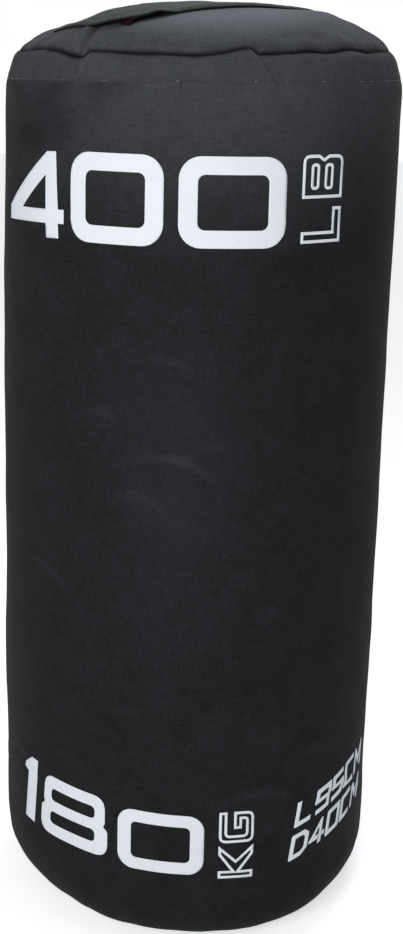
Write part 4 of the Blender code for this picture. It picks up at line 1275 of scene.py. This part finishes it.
def dome_shade_and_grime(turn, arc):
    """The seam's painted shade and dirt, and painted shade in and beyond the right fold and below the right
    of the crown.
    """
    beyond = ramp(past_fold(turn, arc), -0.001, 0.005) * ramp(arc - seam_arc(turn), -0.062, 0.020)
    beyond *= ramp(170.0, degrees(turn), 50.0)
    aside, down = (degrees(turn) - 37.0) / 6.5, (arc - TOP_SEAM_ARC + 0.018) / 0.014
    return seam_shade_and_grime(turn, arc) + FOLD_SHADE * beyond + RIGHT_CROWN_SHADE * hump(hypot(aside, down), 1.0)


def dome_lift(turn, arc):
    """How far the top cloth stands off the even dome: calm under the closure, puckered at the seam."""
    place = bag_point(turn, arc, 0.0)
    along, across = place.dot(ALONG), place.dot(ACROSS)
    outside = max(abs(along) - CALM_HALF, across - CALM_ACROSS[0], -across - CALM_ACROSS[1])
    free = ramp(outside, 0.0, CALM_EDGE)
    from_seam = arc - seam_arc(turn)
    lift = free * DOME_LUMP_SHARE * lumps(place) + seam_dip(turn, from_seam)
    lift += free * swell(from_seam, *DOME_PUCKER) * folds(turn, from_seam, *DOME_FOLDS)
    crease = swell(past_fold(turn, arc), *FOLD_RIGHT_DIP) * ramp(from_seam, -0.045, 0.015)
    lift -= crease * ramp(-from_seam, 0.0, 0.006)
    for middle, slant, length, depth in DOME_TUCKS:
        aside = (turn - middle - slant * (arc - TOP_SEAM_ARC)) * place.xy.length
        fold = hump(aside, FOLD_WIDTH) - FOLD_RIDGE * hump(aside + FOLD_RIDGE_ASIDE, FOLD_RIDGE_WIDTH)
        lift -= depth * fold * ramp(from_seam, -length, 0.020) * ramp(-from_seam, 0.0, 0.003)
    return lift


def dome_column(turn):
    """Places on the dome in one column, from the slot's rim to the top seam: turns and distances down."""
    out = around(turn, 1.0, 0.0)
    along, across = out.dot(ALONG), out.dot(ACROSS)
    reach = 1 / max(abs(along) / SLOT_HALF, abs(across) / SLOT_END_RUN, 1e-9)
    aside = max(-1.0, min(1.0, across * reach / SLOT_END_RUN))
    rim = over_crown(along * reach, ZIP_ACROSS + SLOT_HALF_WIDTH * aside)
    near_seam = bag_point(turn, TOP_SEAM_ARC - SEAM_BAND, 0.0)
    column = []
    for share in spread(0.0, 1.0, 0.03)[:-1]:
        flat = rim.lerp(Vector((near_seam.x, near_seam.y, 0.0)), share)
        arc = CROWN_RADIUS * asin(flat.length / CROWN_RADIUS)
        if flat.length > CROWN_RADIUS * sin(CROWN_ANGLE):
            bend = asin((flat.length - SHOULDER_CENTRE) / SHOULDER_RADIUS)
            arc = CROWN_ARC + SHOULDER_RADIUS * (bend - CROWN_ANGLE)
        column.append((atan2(flat.x, -flat.y), arc))
    return column + [(turn, arc) for arc in reversed(seam_side(turn, -1, 0.0013))]


outer = list(zip(*[dome_column(turn) for turn in wall_turns()[:-1]]))
inner = thinned(outer, 6, range(len(outer) - 11, len(outer)))
rings = skin_rings(outer, dome_lift)
rings += skin_rings(inner, lambda turn, arc: min(-CLOTH, dome_lift(turn, arc) - UNDER_GAP))
places = [[(point.x, point.y) for point in ring + ring[:1]] for ring in rings]
dome = add_rings("top_round", rings, places, top_cloth, wrapped=True)
add_wear(dome, [place for row in outer for place in row], dome_shade_and_grime, level(0.0))
dress(dome, "bag", "top_cloth", "top_panel")
dress(add_band("top_seam_inner_tape", TOP_SEAM_ARC, TOP_TAPE_LIFTS, tape_cloth),
      "bag", "binding_tape", "top_seam_binding")


# Zip. A heavy coil-size zip with moulded black teeth on two woven tapes, sewn in under the slot. The row
# ends in small nickel stops, and a nickel-plated slider with a flat pull closes it.
TAPE_HALF, TAPE_UNDER, TAPE_OVER = 0.1373, -0.0029, -0.0021
ZIP_TAPE_NEAR, ZIP_TAPE_WIDTH = 0.0051, 0.01088
TEETH_HALF, TEETH_LIFT = 0.1230, -0.0025
TOOTH_PITCH, TOOTH_GAP, TOOTH_HEAD, TOOTH_HALF_HEIGHT = 0.0030, 0.0008, 0.0023, 0.0015
# One side of a tooth, seen from above: the clamp on the tape, a narrower neck and a rounded head.
TOOTH_SIDE = ((-0.0020, 0.0010), (-0.0002, 0.0010), (0.0006, 0.0005), (0.0012, 0.0008), (0.0019, 0.0008),
              (0.0023, 0.0004))
TOOTH_BLACK = "#151517"
TOOTH_LIGHT = "#242427"
NICKEL = "#b9b7b0"
NICKEL_WORN = "#8f8d88"
SLIDER_ALONG = -0.1120
SLIDER_PLATE = ((0.011, 0.0042), (-0.004, 0.0060), (-0.009, 0.0060), (-0.0095, 0.0040), (-0.011, 0.0022))
SLIDER_FLANGE = ((0.010, 0.0051), (-0.006, 0.0051), (-0.006, 0.0062), (0.010, 0.0060))
# Boxes of the slider, a spine, two legs and their bridge: start, end, half width and two lifts.
SLIDER_BOXES = ((-0.0108, -0.0082, 0.0005, -0.0050, 0.0), (-0.0030, -0.0020, 0.0015, 0.0004, 0.0025),
                (0.0020, 0.0030, 0.0015, 0.0004, 0.0025), (-0.0030, 0.0030, 0.0015, 0.0021, 0.0029))
PULL_HALF, PULL_ARM, PULL_HALF_THICKNESS, PULL_LIFT = 0.0043, 0.0010, 0.0004, 0.0014


def add_crown_slab(name, alongs, acrosses, under, over, material, share_at=lambda along, across: 1.0):
    """Closed sheet that follows the dome, between two lift functions of the places along and across."""
    grid = [[(along * share_at(along, across), across) for along in alongs] for across in acrosses]
    return add_slab(name, grid, on_crown, over, under, material)


for side, name in ((-1, "hinge_side"), (1, "edge_side")):
    near = ZIP_ACROSS + side * ZIP_TAPE_NEAR
    acrosses = spread(near, near + side * ZIP_TAPE_WIDTH, ZIP_TAPE_WIDTH / 5)
    tape = add_crown_slab("zip_cloth_" + name, spread(-TAPE_HALF, TAPE_HALF, 0.006), acrosses,
                          level(TAPE_UNDER), level(TAPE_OVER), tape_cloth)
    dress(tape, "bag", "zip_tape", "zip_tape_" + name)


def add_plate(shape, outline, low, high):
    """Flat body added to a shape, from an outline along and across and two lifts."""
    add_prism(shape, [[(*place, lift) for place in outline] for lift in (low, high)])


def tooth_unit():
    """One moulded tooth, its edges broken."""
    shape = bmesh.new()
    outline = [(half, across) for across, half in TOOTH_SIDE]
    outline += [(-half, across) for across, half in reversed(TOOTH_SIDE)]
    add_plate(shape, outline, -TOOTH_HALF_HEIGHT, TOOTH_HALF_HEIGHT)
    bmesh.ops.bevel(shape, geom=shape.edges[:], offset=0.00018, segments=1, affect="EDGES")
    return finished_mesh("tooth_unit", shape)


def moulded_acetal():
    """Moulded zip tooth: hard black plastic with a satin skin."""
    tree, spot = start_material("moulded_acetal_black")
    grain = add_node(tree, "ShaderNodeTexNoise", {"Vector": spot["Object"], "Scale": 900.0})
    tone = add_node(tree, "ShaderNodeAttribute", attribute_name="fleck").outputs["Fac"]
    colour = add_node(tree, "ShaderNodeMix", {0: tone, 6: TOOTH_BLACK, 7: TOOTH_LIGHT}, data_type="RGBA")
    return finish_material("moulded_acetal_black", colour.outputs[2], grain, 0.00005, 0.34)


tooth, acetal = tooth_unit(), moulded_acetal()
for side, name in ((-1, "hinge_side"), (1, "edge_side")):
    start = TEETH_HALF if side > 0 else TEETH_HALF - TOOTH_PITCH / 2
    stations = spread(side * start, -side * (TEETH_HALF - TOOTH_PITCH / 2), 0.006)
    line = [(along, ZIP_ACROSS + side * (TOOTH_GAP + TOOTH_HEAD)) for along in stations]
    teeth = add_row("zip_row_" + name, [lined(line, on_crown, level(TEETH_LIFT))], tooth, TOOTH_PITCH, 0.0,
                    acetal, "bag")
    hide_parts("zip_teeth_" + name)


def plated_nickel():
    """Die-cast zinc with bright nickel plating, rubbed duller on its faces."""
    tree, spot = start_material("nickel_plated_zinc")
    rub = add_node(tree, "ShaderNodeTexNoise",
                   {"Vector": spot["Object"], "Scale": 260.0, "Detail": 6.0, "Roughness": 0.7})
    rough = add_node(tree, "ShaderNodeMapRange", {0: rub, 3: 0.22, 4: 0.45})
    colour = add_node(tree, "ShaderNodeMix", {0: rub, 6: NICKEL, 7: NICKEL_WORN}, data_type="RGBA")
    return finish_material("nickel_plated_zinc", colour.outputs[2], rub, 0.00006, rough, Metallic=1.0)


nickel = plated_nickel()
for node in ("zip_closed_stop_hinge_side", "zip_closed_stop_edge_side", "zip_open_stop"):
    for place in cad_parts[node].material_slots:
        place.material = nickel


def metal_piece(name, shape, body, node):
    """Bevelled nickel piece, moved from the slider's own axes to its place on the dome. The move mirrors
    it, so its faces are turned round."""
    middle = on_crown(SLIDER_ALONG, ZIP_ACROSS, 0.0)
    up = (on_crown(SLIDER_ALONG, ZIP_ACROSS, 0.01) - middle).normalized()
    ahead = (on_crown(SLIDER_ALONG + 0.01, ZIP_ACROSS, 0.0) - middle).normalized()
    axes = Matrix((ahead, ahead.cross(up), up)).transposed().to_4x4()
    bmesh.ops.recalc_face_normals(shape, faces=shape.faces)
    shape.transform(Matrix.Translation(middle) @ axes)
    bmesh.ops.reverse_faces(shape, faces=shape.faces)
    mesh = finished_mesh(name, shape)
    mesh.set_sharp_from_angle(angle=radians(40.0))
    mesh.materials.append(nickel)
    piece = add_object(name, mesh)
    edge = piece.modifiers.new("edge", "BEVEL")
    edge.width = 0.00025
    edge.segments = 2
    dress(piece, body, "zip_metal", node)


slider = bmesh.new()
plate = SLIDER_PLATE + tuple((along, -half) for along, half in reversed(SLIDER_PLATE))
for low, high in ((-0.0005, 0.0007), (-0.0057, -0.0045)):
    add_plate(slider, plate, low, high)
for side in (-1, 1):
    flange = [(along, side * across) for along, across in SLIDER_FLANGE]
    for low, high in ((-0.0018, 0.0004), (-0.0054, -0.0032)):
        add_plate(slider, flange, low, high)
for start, end, half, low, high in SLIDER_BOXES:
    add_plate(slider, ((start, half), (end, half), (end, -half), (start, -half)), low, high)
metal_piece("slider_body", slider, "slider", "zip_slider")

tab_outline = box_loop(-0.0240, -PULL_HALF, 0.0004, PULL_HALF, 0.0022)
eye = box_loop(-0.0055, PULL_ARM - PULL_HALF, -0.0004, PULL_HALF - PULL_ARM, 0.0010)
grip = box_loop(-0.0210, -0.0016, -0.0110, 0.0016, 0.0014)
pull = filled("pull", (tab_outline, eye, grip), 0.00001, PULL_HALF_THICKNESS)
for vert in pull.verts:
    vert.co.z += PULL_LIFT - vert.co.x ** 2 / (2 * CROWN_RADIUS)
metal_piece("slider_pull", pull, "pull", "zip_pull")


# Cover flap. A wide strip of a tighter, greener polyester, sewn to the dome behind the zip and folded
# over it, with a stitched hem round its free edges. Its front end stands up a little off the dome.
HINGE_ACROSS, HEM_ACROSS, EDGE_ACROSS = -0.040, -0.052, 0.061
FLAP_HALF, FLAP_CORNER = 0.1578, 0.028
FLAP_SLANT, FLAP_SLANT_START = 0.20, -0.024
FLAP_UNDER, FLAP_THICKNESS = 0.0032, 0.0012
# Where the flap rises from its sewn edge, across, and over what width: beside the slider, and elsewhere.
SLIDER_RISE, FLAP_RISE, WIDE_START = (-0.0195, 0.015), (HINGE_ACROSS, 0.020), (-0.095, 0.040)
HEM_WIDTH, HEM_EDGE, HEM_THICKER = 0.011, 0.0025, 0.0009
HEM_STITCH, HEM_STITCH_DIP, HEM_STITCH_REACH = 0.0085, 0.0004, 0.0012
HEM_ROUNDING, HEM_ROUNDING_REACH, HEM_WEAR = 0.0009, 0.0010, 0.0004
# Painted shade along the lip of the hem: how dark, and how far in from the edge.
HEM_SHADE, HEM_SHADE_REACH = 0.9, 0.0014
SEWN_EDGE_ROWS = (-0.0505, -0.0480)
FRONT_REACH, FRONT_BULGE = 0.004, (0.016, 0.012, 0.030)
FRONT_END, CORNER_PLACE, CORNER_LIFT = (0.124, 0.028), (0.034, 0.020), 0.0020
PRESSED_ACROSS, PRESSED_ALONG, PRESSED_DOWN = (0.026, 0.016), (-0.138, 0.034), 0.0008
LIP_ACROSS, LIP_DOWN = (0.0565, 0.0045), 0.0016
LOOSE_ACROSS, LOOSE_LIFT, LOOSE_WAVE = (0.030, 0.031), 0.0006, 0.0010
EDGE_LIFT = (0.0024, -0.132, 0.030)
FLAP_PUFF, PUFF_ALONG, PUFF_ACROSS = 0.0009, (-0.028, 0.055), (0.020, 0.022)
FOLD_START, FOLD_END = -0.047, -0.021
FLAP_YARN = 0.0012
FLAP_GROUND = "#242726"
FLAP_THREAD = "#3f4441"


def flap_share(along, across):
    """Share of the flap's full length that is left at this place across, by its slant and round corners. The
    front end droops further."""
    setback = FLAP_SLANT * max(0.0, across - FLAP_SLANT_START)
    past = max(0.0, across - (EDGE_ACROSS - FLAP_CORNER))
    setback += FLAP_CORNER - sqrt(max(0.0, FLAP_CORNER ** 2 - past ** 2))
    reach = (FRONT_REACH + swell(across, *FRONT_BULGE)) * (along < 0)
    return (FLAP_HALF - setback + reach) / FLAP_HALF


def from_edge(along, across):
    """Distance of a place on the flap from its nearest free edge."""
    return min(FLAP_HALF * flap_share(along, across) - abs(along), EDGE_ACROSS - across)


def flap_under(along, across):
    """Lift of the flap's underside: down on the dome at its sewn edge and its front end, over the zip
    between them, proud and wavy at its front corner, and pressed and turned down at its long edge by the
    gripping tapes. Its front third lies flat as far as the slider."""
    front = ramp(-along, *FRONT_END)
    corner = hump(across - CORNER_PLACE[0], CORNER_PLACE[1])
    wide = ramp(along, *WIDE_START)
    start, width = (one + wide * (two - one) for one, two in zip(SLIDER_RISE, FLAP_RISE))
    rise = ramp(across, start, width) * (1 - 0.75 * front * (1 - corner))
    flat = ramp(across, *PRESSED_ACROSS) * ramp(along, *PRESSED_ALONG)
    loose = (1 - flat) * ramp(across, *LOOSE_ACROSS) * (1 - 0.5 * front)
    wave = noise.noise(Vector((along / 0.034, across / 0.080, 4.2)))
    aside = hypot((along - PUFF_ALONG[0]) / PUFF_ALONG[1], (across - PUFF_ACROSS[0]) / PUFF_ACROSS[1])
    lift = SEWN_GAP + rise * (FLAP_UNDER - SEWN_GAP) + FLAP_PUFF * hump(aside, 1.0)
    lift += loose * (LOOSE_LIFT + LOOSE_WAVE * wave + swell(along, *EDGE_LIFT)) + CORNER_LIFT * corner * front
    return lift - flat * (PRESSED_DOWN + LIP_DOWN * ramp(across, *LIP_ACROSS))


def flap_over(along, across):
    """Lift of the flap's upper side: thicker where the hem is folded, and rounded off at its edge."""
    edge = from_edge(along, across)
    hem = HEM_THICKER * ramp(HEM_WIDTH, edge, HEM_EDGE)
    hem -= swell(edge, HEM_STITCH_DIP, HEM_STITCH, HEM_STITCH_REACH)
    hem -= HEM_ROUNDING * exp(-edge / HEM_ROUNDING_REACH)
    worn = HEM_WEAR * noise.noise(Vector((along / 0.011, across / 0.030, 1.1)))
    return flap_under(along, across) + FLAP_THICKNESS + worn + hem * ramp(across, HINGE_ACROSS, 0.010)


def hem_edge_shade(along, across):
    """Painted shade on the lip of the hem, where the gap under the free edge lies in shadow."""
    return HEM_SHADE * hump(from_edge(along, across), HEM_SHADE_REACH)


def chained(*parts):
    """Values spread over parts that follow one another, each with its start, end and step."""
    return [parts[0][0]] + [value for part in parts for value in spread(*part)[1:]]


flap_cloth = woven_cloth("woven_polyester_tight", FLAP_GROUND, FLAP_THREAD, FLAP_YARN, 0.00010, 0.70, 0.10)
alongs = chained((-FLAP_HALF, -0.130, 0.0013), (-0.130, 0.130, 0.0032), (0.130, FLAP_HALF, 0.0016))
acrosses = chained((HEM_ACROSS, 0.033, 0.0022), (0.033, 0.058, 0.0016), (0.058, EDGE_ACROSS, 0.0006))
flap = add_crown_slab("cover_flap", alongs, acrosses, flap_under, flap_over, flap_cloth, flap_share)
upper = [(along * flap_share(along, across), across) for across in acrosses for along in alongs]
add_wear(flap, upper + upper, hem_edge_shade, level(0.0))
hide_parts("closure_flap", "flap_hem")
on_crown(0.0, FOLD_START, 0.0)
on_crown(0.0, FOLD_END, 0.0)
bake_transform(flap)

alongs = spread(-FLAP_HALF + 0.003, FLAP_HALF - 0.003, 0.003)
sewn_rows = [[(along, across) for along in alongs] for across in SEWN_EDGE_ROWS]
sew("flap_sewn_edge_stitches", [lined(row, on_crown, flap_over) for row in sewn_rows], "bag")
hem_across = EDGE_ACROSS - HEM_STITCH
ends = {}
for sign in (-1, 1):
    ends[sign] = [(sign * (FLAP_HALF * flap_share(sign, across) - HEM_STITCH), across)
                  for across in spread(-0.020, hem_across, 0.002)]
reach = ends[1][-1][0]
long_edge = [(along, hem_across) for along in spread(-reach, reach, 0.004)[1:-1]]
sew("flap_hem_stitches", [lined(ends[-1] + long_edge + ends[1][::-1], on_crown, flap_over)], "flap")


# Hook and loop tapes. Nylon tape 26 mm wide in two lengths: the loops are sewn on the dome beyond the
# zip, the hooks under the flap over them, and they hold the flap down.
GRIP_INNER, GRIP_OUTER, GRIP_HALF = 0.030, 0.056, 0.1183
LOOPS_OVER, LOOP_STITCH_LIFT = 0.0016, 0.0017
HOOKS_UNDER, HOOKS_OVER = 0.0008, 0.0002
HOOK_PITCH, HOOK_UNEVENNESS, HOOK_HALF = 0.0022, 0.5, 0.00009
SQUARE = ((-1, -1), (1, -1), (1, 1), (-1, 1))
# A thin stem that stands up and bends over at its tip: places along and up.
HOOK_LINE = ((0.0, 0.0), (0.0, 0.0005), (0.0002, 0.0009), (0.0006, 0.0009), (0.0008, 0.0006))
NYLON_BLACK = "#141415"
NYLON_LIGHT = "#242426"

# Brushed nylon loops: a dense soft pile that scatters light.
loop_pile = two_tone("nylon_loop_pile", "Noise", "UV", {"Scale": 1400.0, "Detail": 5.0, "Distortion": 2.0},
                     (NYLON_BLACK, NYLON_LIGHT), 0.0009, 0.95,
                     Sheen_Weight=0.25, Sheen_Roughness=0.7, Specular_IOR_Level=0.1)
# Bare nylon of the hooks and their tape, with a faint shine.
hook_nylon = two_tone("nylon_hook_tape", "Noise", "Object", {"Scale": 700.0, "Detail": 3.0},
                      (NYLON_BLACK, NYLON_LIGHT), 0.0002, 0.45)


def under_flap(drop):
    """Lift function of a place this far under the flap."""
    return lambda along, across: flap_under(along, across) - drop


def hook_unit():
    shape = bmesh.new()
    corners = [(x * HOOK_HALF, y * HOOK_HALF) for x, y in SQUARE]
    add_prism(shape, [[(along + x, y, lift) for x, y in corners] for along, lift in HOOK_LINE])
    return finished_mesh("hook_unit", shape)


alongs = spread(-GRIP_HALF, GRIP_HALF, 0.005)
acrosses = spread(GRIP_INNER, GRIP_OUTER, 0.004)
pile = add_crown_slab("loop_tape_pile", alongs, acrosses, level(SEWN_GAP), level(LOOPS_OVER), loop_pile)
dress(pile, "bag", "grip_tape", "loop_tape")
hooks_ground = add_crown_slab("hook_tape_ground", alongs, acrosses, under_flap(HOOKS_UNDER),
                              under_flap(HOOKS_OVER), hook_nylon)
dress(hooks_ground, "flap", "grip_tape", "hook_tape")
hook_alongs = spread(-GRIP_HALF + 0.002, GRIP_HALF - 0.002, 0.006)
hook_rows = []
for across in spread(GRIP_INNER + 0.002, GRIP_OUTER - 0.002, HOOK_PITCH):
    row = lined([(along, across) for along in hook_alongs], on_crown, under_flap(HOOKS_UNDER))
    hook_rows.append([(point, -skin) for point, skin in row])
hooks = add_row("hook_tape_hooks", hook_rows, hook_unit(), HOOK_PITCH, HOOK_UNEVENNESS, hook_nylon, "flap")
stitched = [[(along, across) for along in alongs] for across in (GRIP_INNER + 0.0015, GRIP_OUTER - 0.0015)]
sew("loop_tape_stitches", [lined(row, on_crown, level(LOOP_STITCH_LIFT)) for row in stitched], "bag")


# Pull tab. A folded end of dark red ribbon, sewn under the flap's front corner, to lift the flap by.
# It is two layers thick, and its loose end droops past the flap's edge.
TAB_WIDTH, TAB_OUTER, TAB_THICKNESS = 0.010, EDGE_ACROSS - 0.015, 0.0016
TAB_LOOSE, TAB_HELD, TAB_DROOP = 0.004, 0.010, 0.0022
RIBBON_RED = "#1f0c0f"
RIBBON_DARK = "#18080a"

# Ribbed polyester ribbon, dark red, dusty.
red_ribbon = two_tone("grosgrain_ribbon_red", "Wave", "UV", {"Scale": WAVE_PERIOD / 0.0011},
                      (RIBBON_DARK, RIBBON_RED), 0.0003, 0.8, "X", Specular_IOR_Level=0.05)
tab_end = FLAP_HALF * flap_share(-1.0, TAB_OUTER - TAB_WIDTH / 2)


def tab_over(along, across):
    return flap_under(along, across) - SEWN_GAP - TAB_DROOP * ramp(-along, tab_end - 0.001, TAB_LOOSE)


tab = add_crown_slab("flap_ribbon_tab", spread(-tab_end - TAB_LOOSE, -tab_end + TAB_HELD, 0.001),
                     spread(TAB_OUTER - TAB_WIDTH, TAB_OUTER, 0.0013),
                     lambda along, across: tab_over(along, across) - TAB_THICKNESS, tab_over, red_ribbon)
dress(tab, "flap", "red_ribbon", "flap_pull_tab")


# Studio. A plain pale floor that runs into a white background, one broad soft lamp in front and above,
# and a weaker one above and behind that catches the dome.
FLOOR_WHITE = "#f2f2f2"
WHITE = "#ffffff"
SKY_WHITE = "#eaf0ff"
FLOOR_SIZE = 12.0
FLOOR_GLOW = 0.55
WORLD_STRENGTH = 0.35


def seen_straight(tree):
    """1 for what the camera sees straight, mirrored or through something clear, 0 for light on the bag."""
    ray = add_node(tree, "ShaderNodeLightPath").outputs
    mirrored = add_node(tree, "ShaderNodeMath", {0: ray["Is Glossy Ray"], 1: ray["Is Transmission Ray"]},
                        operation="MAXIMUM")
    return add_node(tree, "ShaderNodeMath", {0: ray["Is Camera Ray"], 1: mirrored}, operation="MAXIMUM")


def add_lamp(name, place, target, size, power, colour):
    lamp = add_object(name, bpy.data.lights.new(name, "AREA"))
    lamp.data.size = size
    lamp.data.energy = power
    lamp.data.color = linear(colour)[:3]
    aim = (Vector(target) - Vector(place)).to_track_quat("-Z", "Y").to_matrix().to_4x4()
    lamp.matrix_world = Matrix.Translation(place) @ aim


floor_mesh = bpy.data.meshes.new("floor")
floor_mesh.from_pydata([(x * FLOOR_SIZE, y * FLOOR_SIZE, 0.0) for x, y in SQUARE], [], [(0, 1, 2, 3)])
floor_paper = bpy.data.materials.new("floor_paper")
floor_mesh.materials.append(floor_paper)
add_object("floor", floor_mesh)
tree = emptied(floor_paper)
seen = add_node(tree, "ShaderNodeMath", {0: seen_straight(tree), 1: FLOOR_GLOW}, operation="MULTIPLY")
paper = add_node(tree, "ShaderNodeBsdfDiffuse", {"Color": FLOOR_WHITE})
glow = add_node(tree, "ShaderNodeEmission", {"Color": WHITE, "Strength": seen})
both = add_node(tree, "ShaderNodeAddShader", {0: paper, 1: glow})
add_node(tree, "ShaderNodeOutputMaterial", {"Surface": both})

world = bpy.data.worlds.new("studio")
bpy.context.scene.world = world
tree = emptied(world)
strength = add_node(tree, "ShaderNodeMapRange", {0: seen_straight(tree), 3: WORLD_STRENGTH, 4: 1.0})
sky = add_node(tree, "ShaderNodeBackground", {"Color": WHITE, "Strength": strength})
add_node(tree, "ShaderNodeOutputWorld", {"Surface": sky})

add_lamp("front_lamp", (-0.85, -2.7, 1.55), (0.0, 0.0, 0.42), 1.6, 55.0, WHITE)
add_lamp("back_lamp", (0.42, 0.80, 2.3), (0.05, 0.0, 0.9), 1.0, 16.0, SKY_WHITE)
bpy.context.scene.view_settings.view_transform = "Standard"
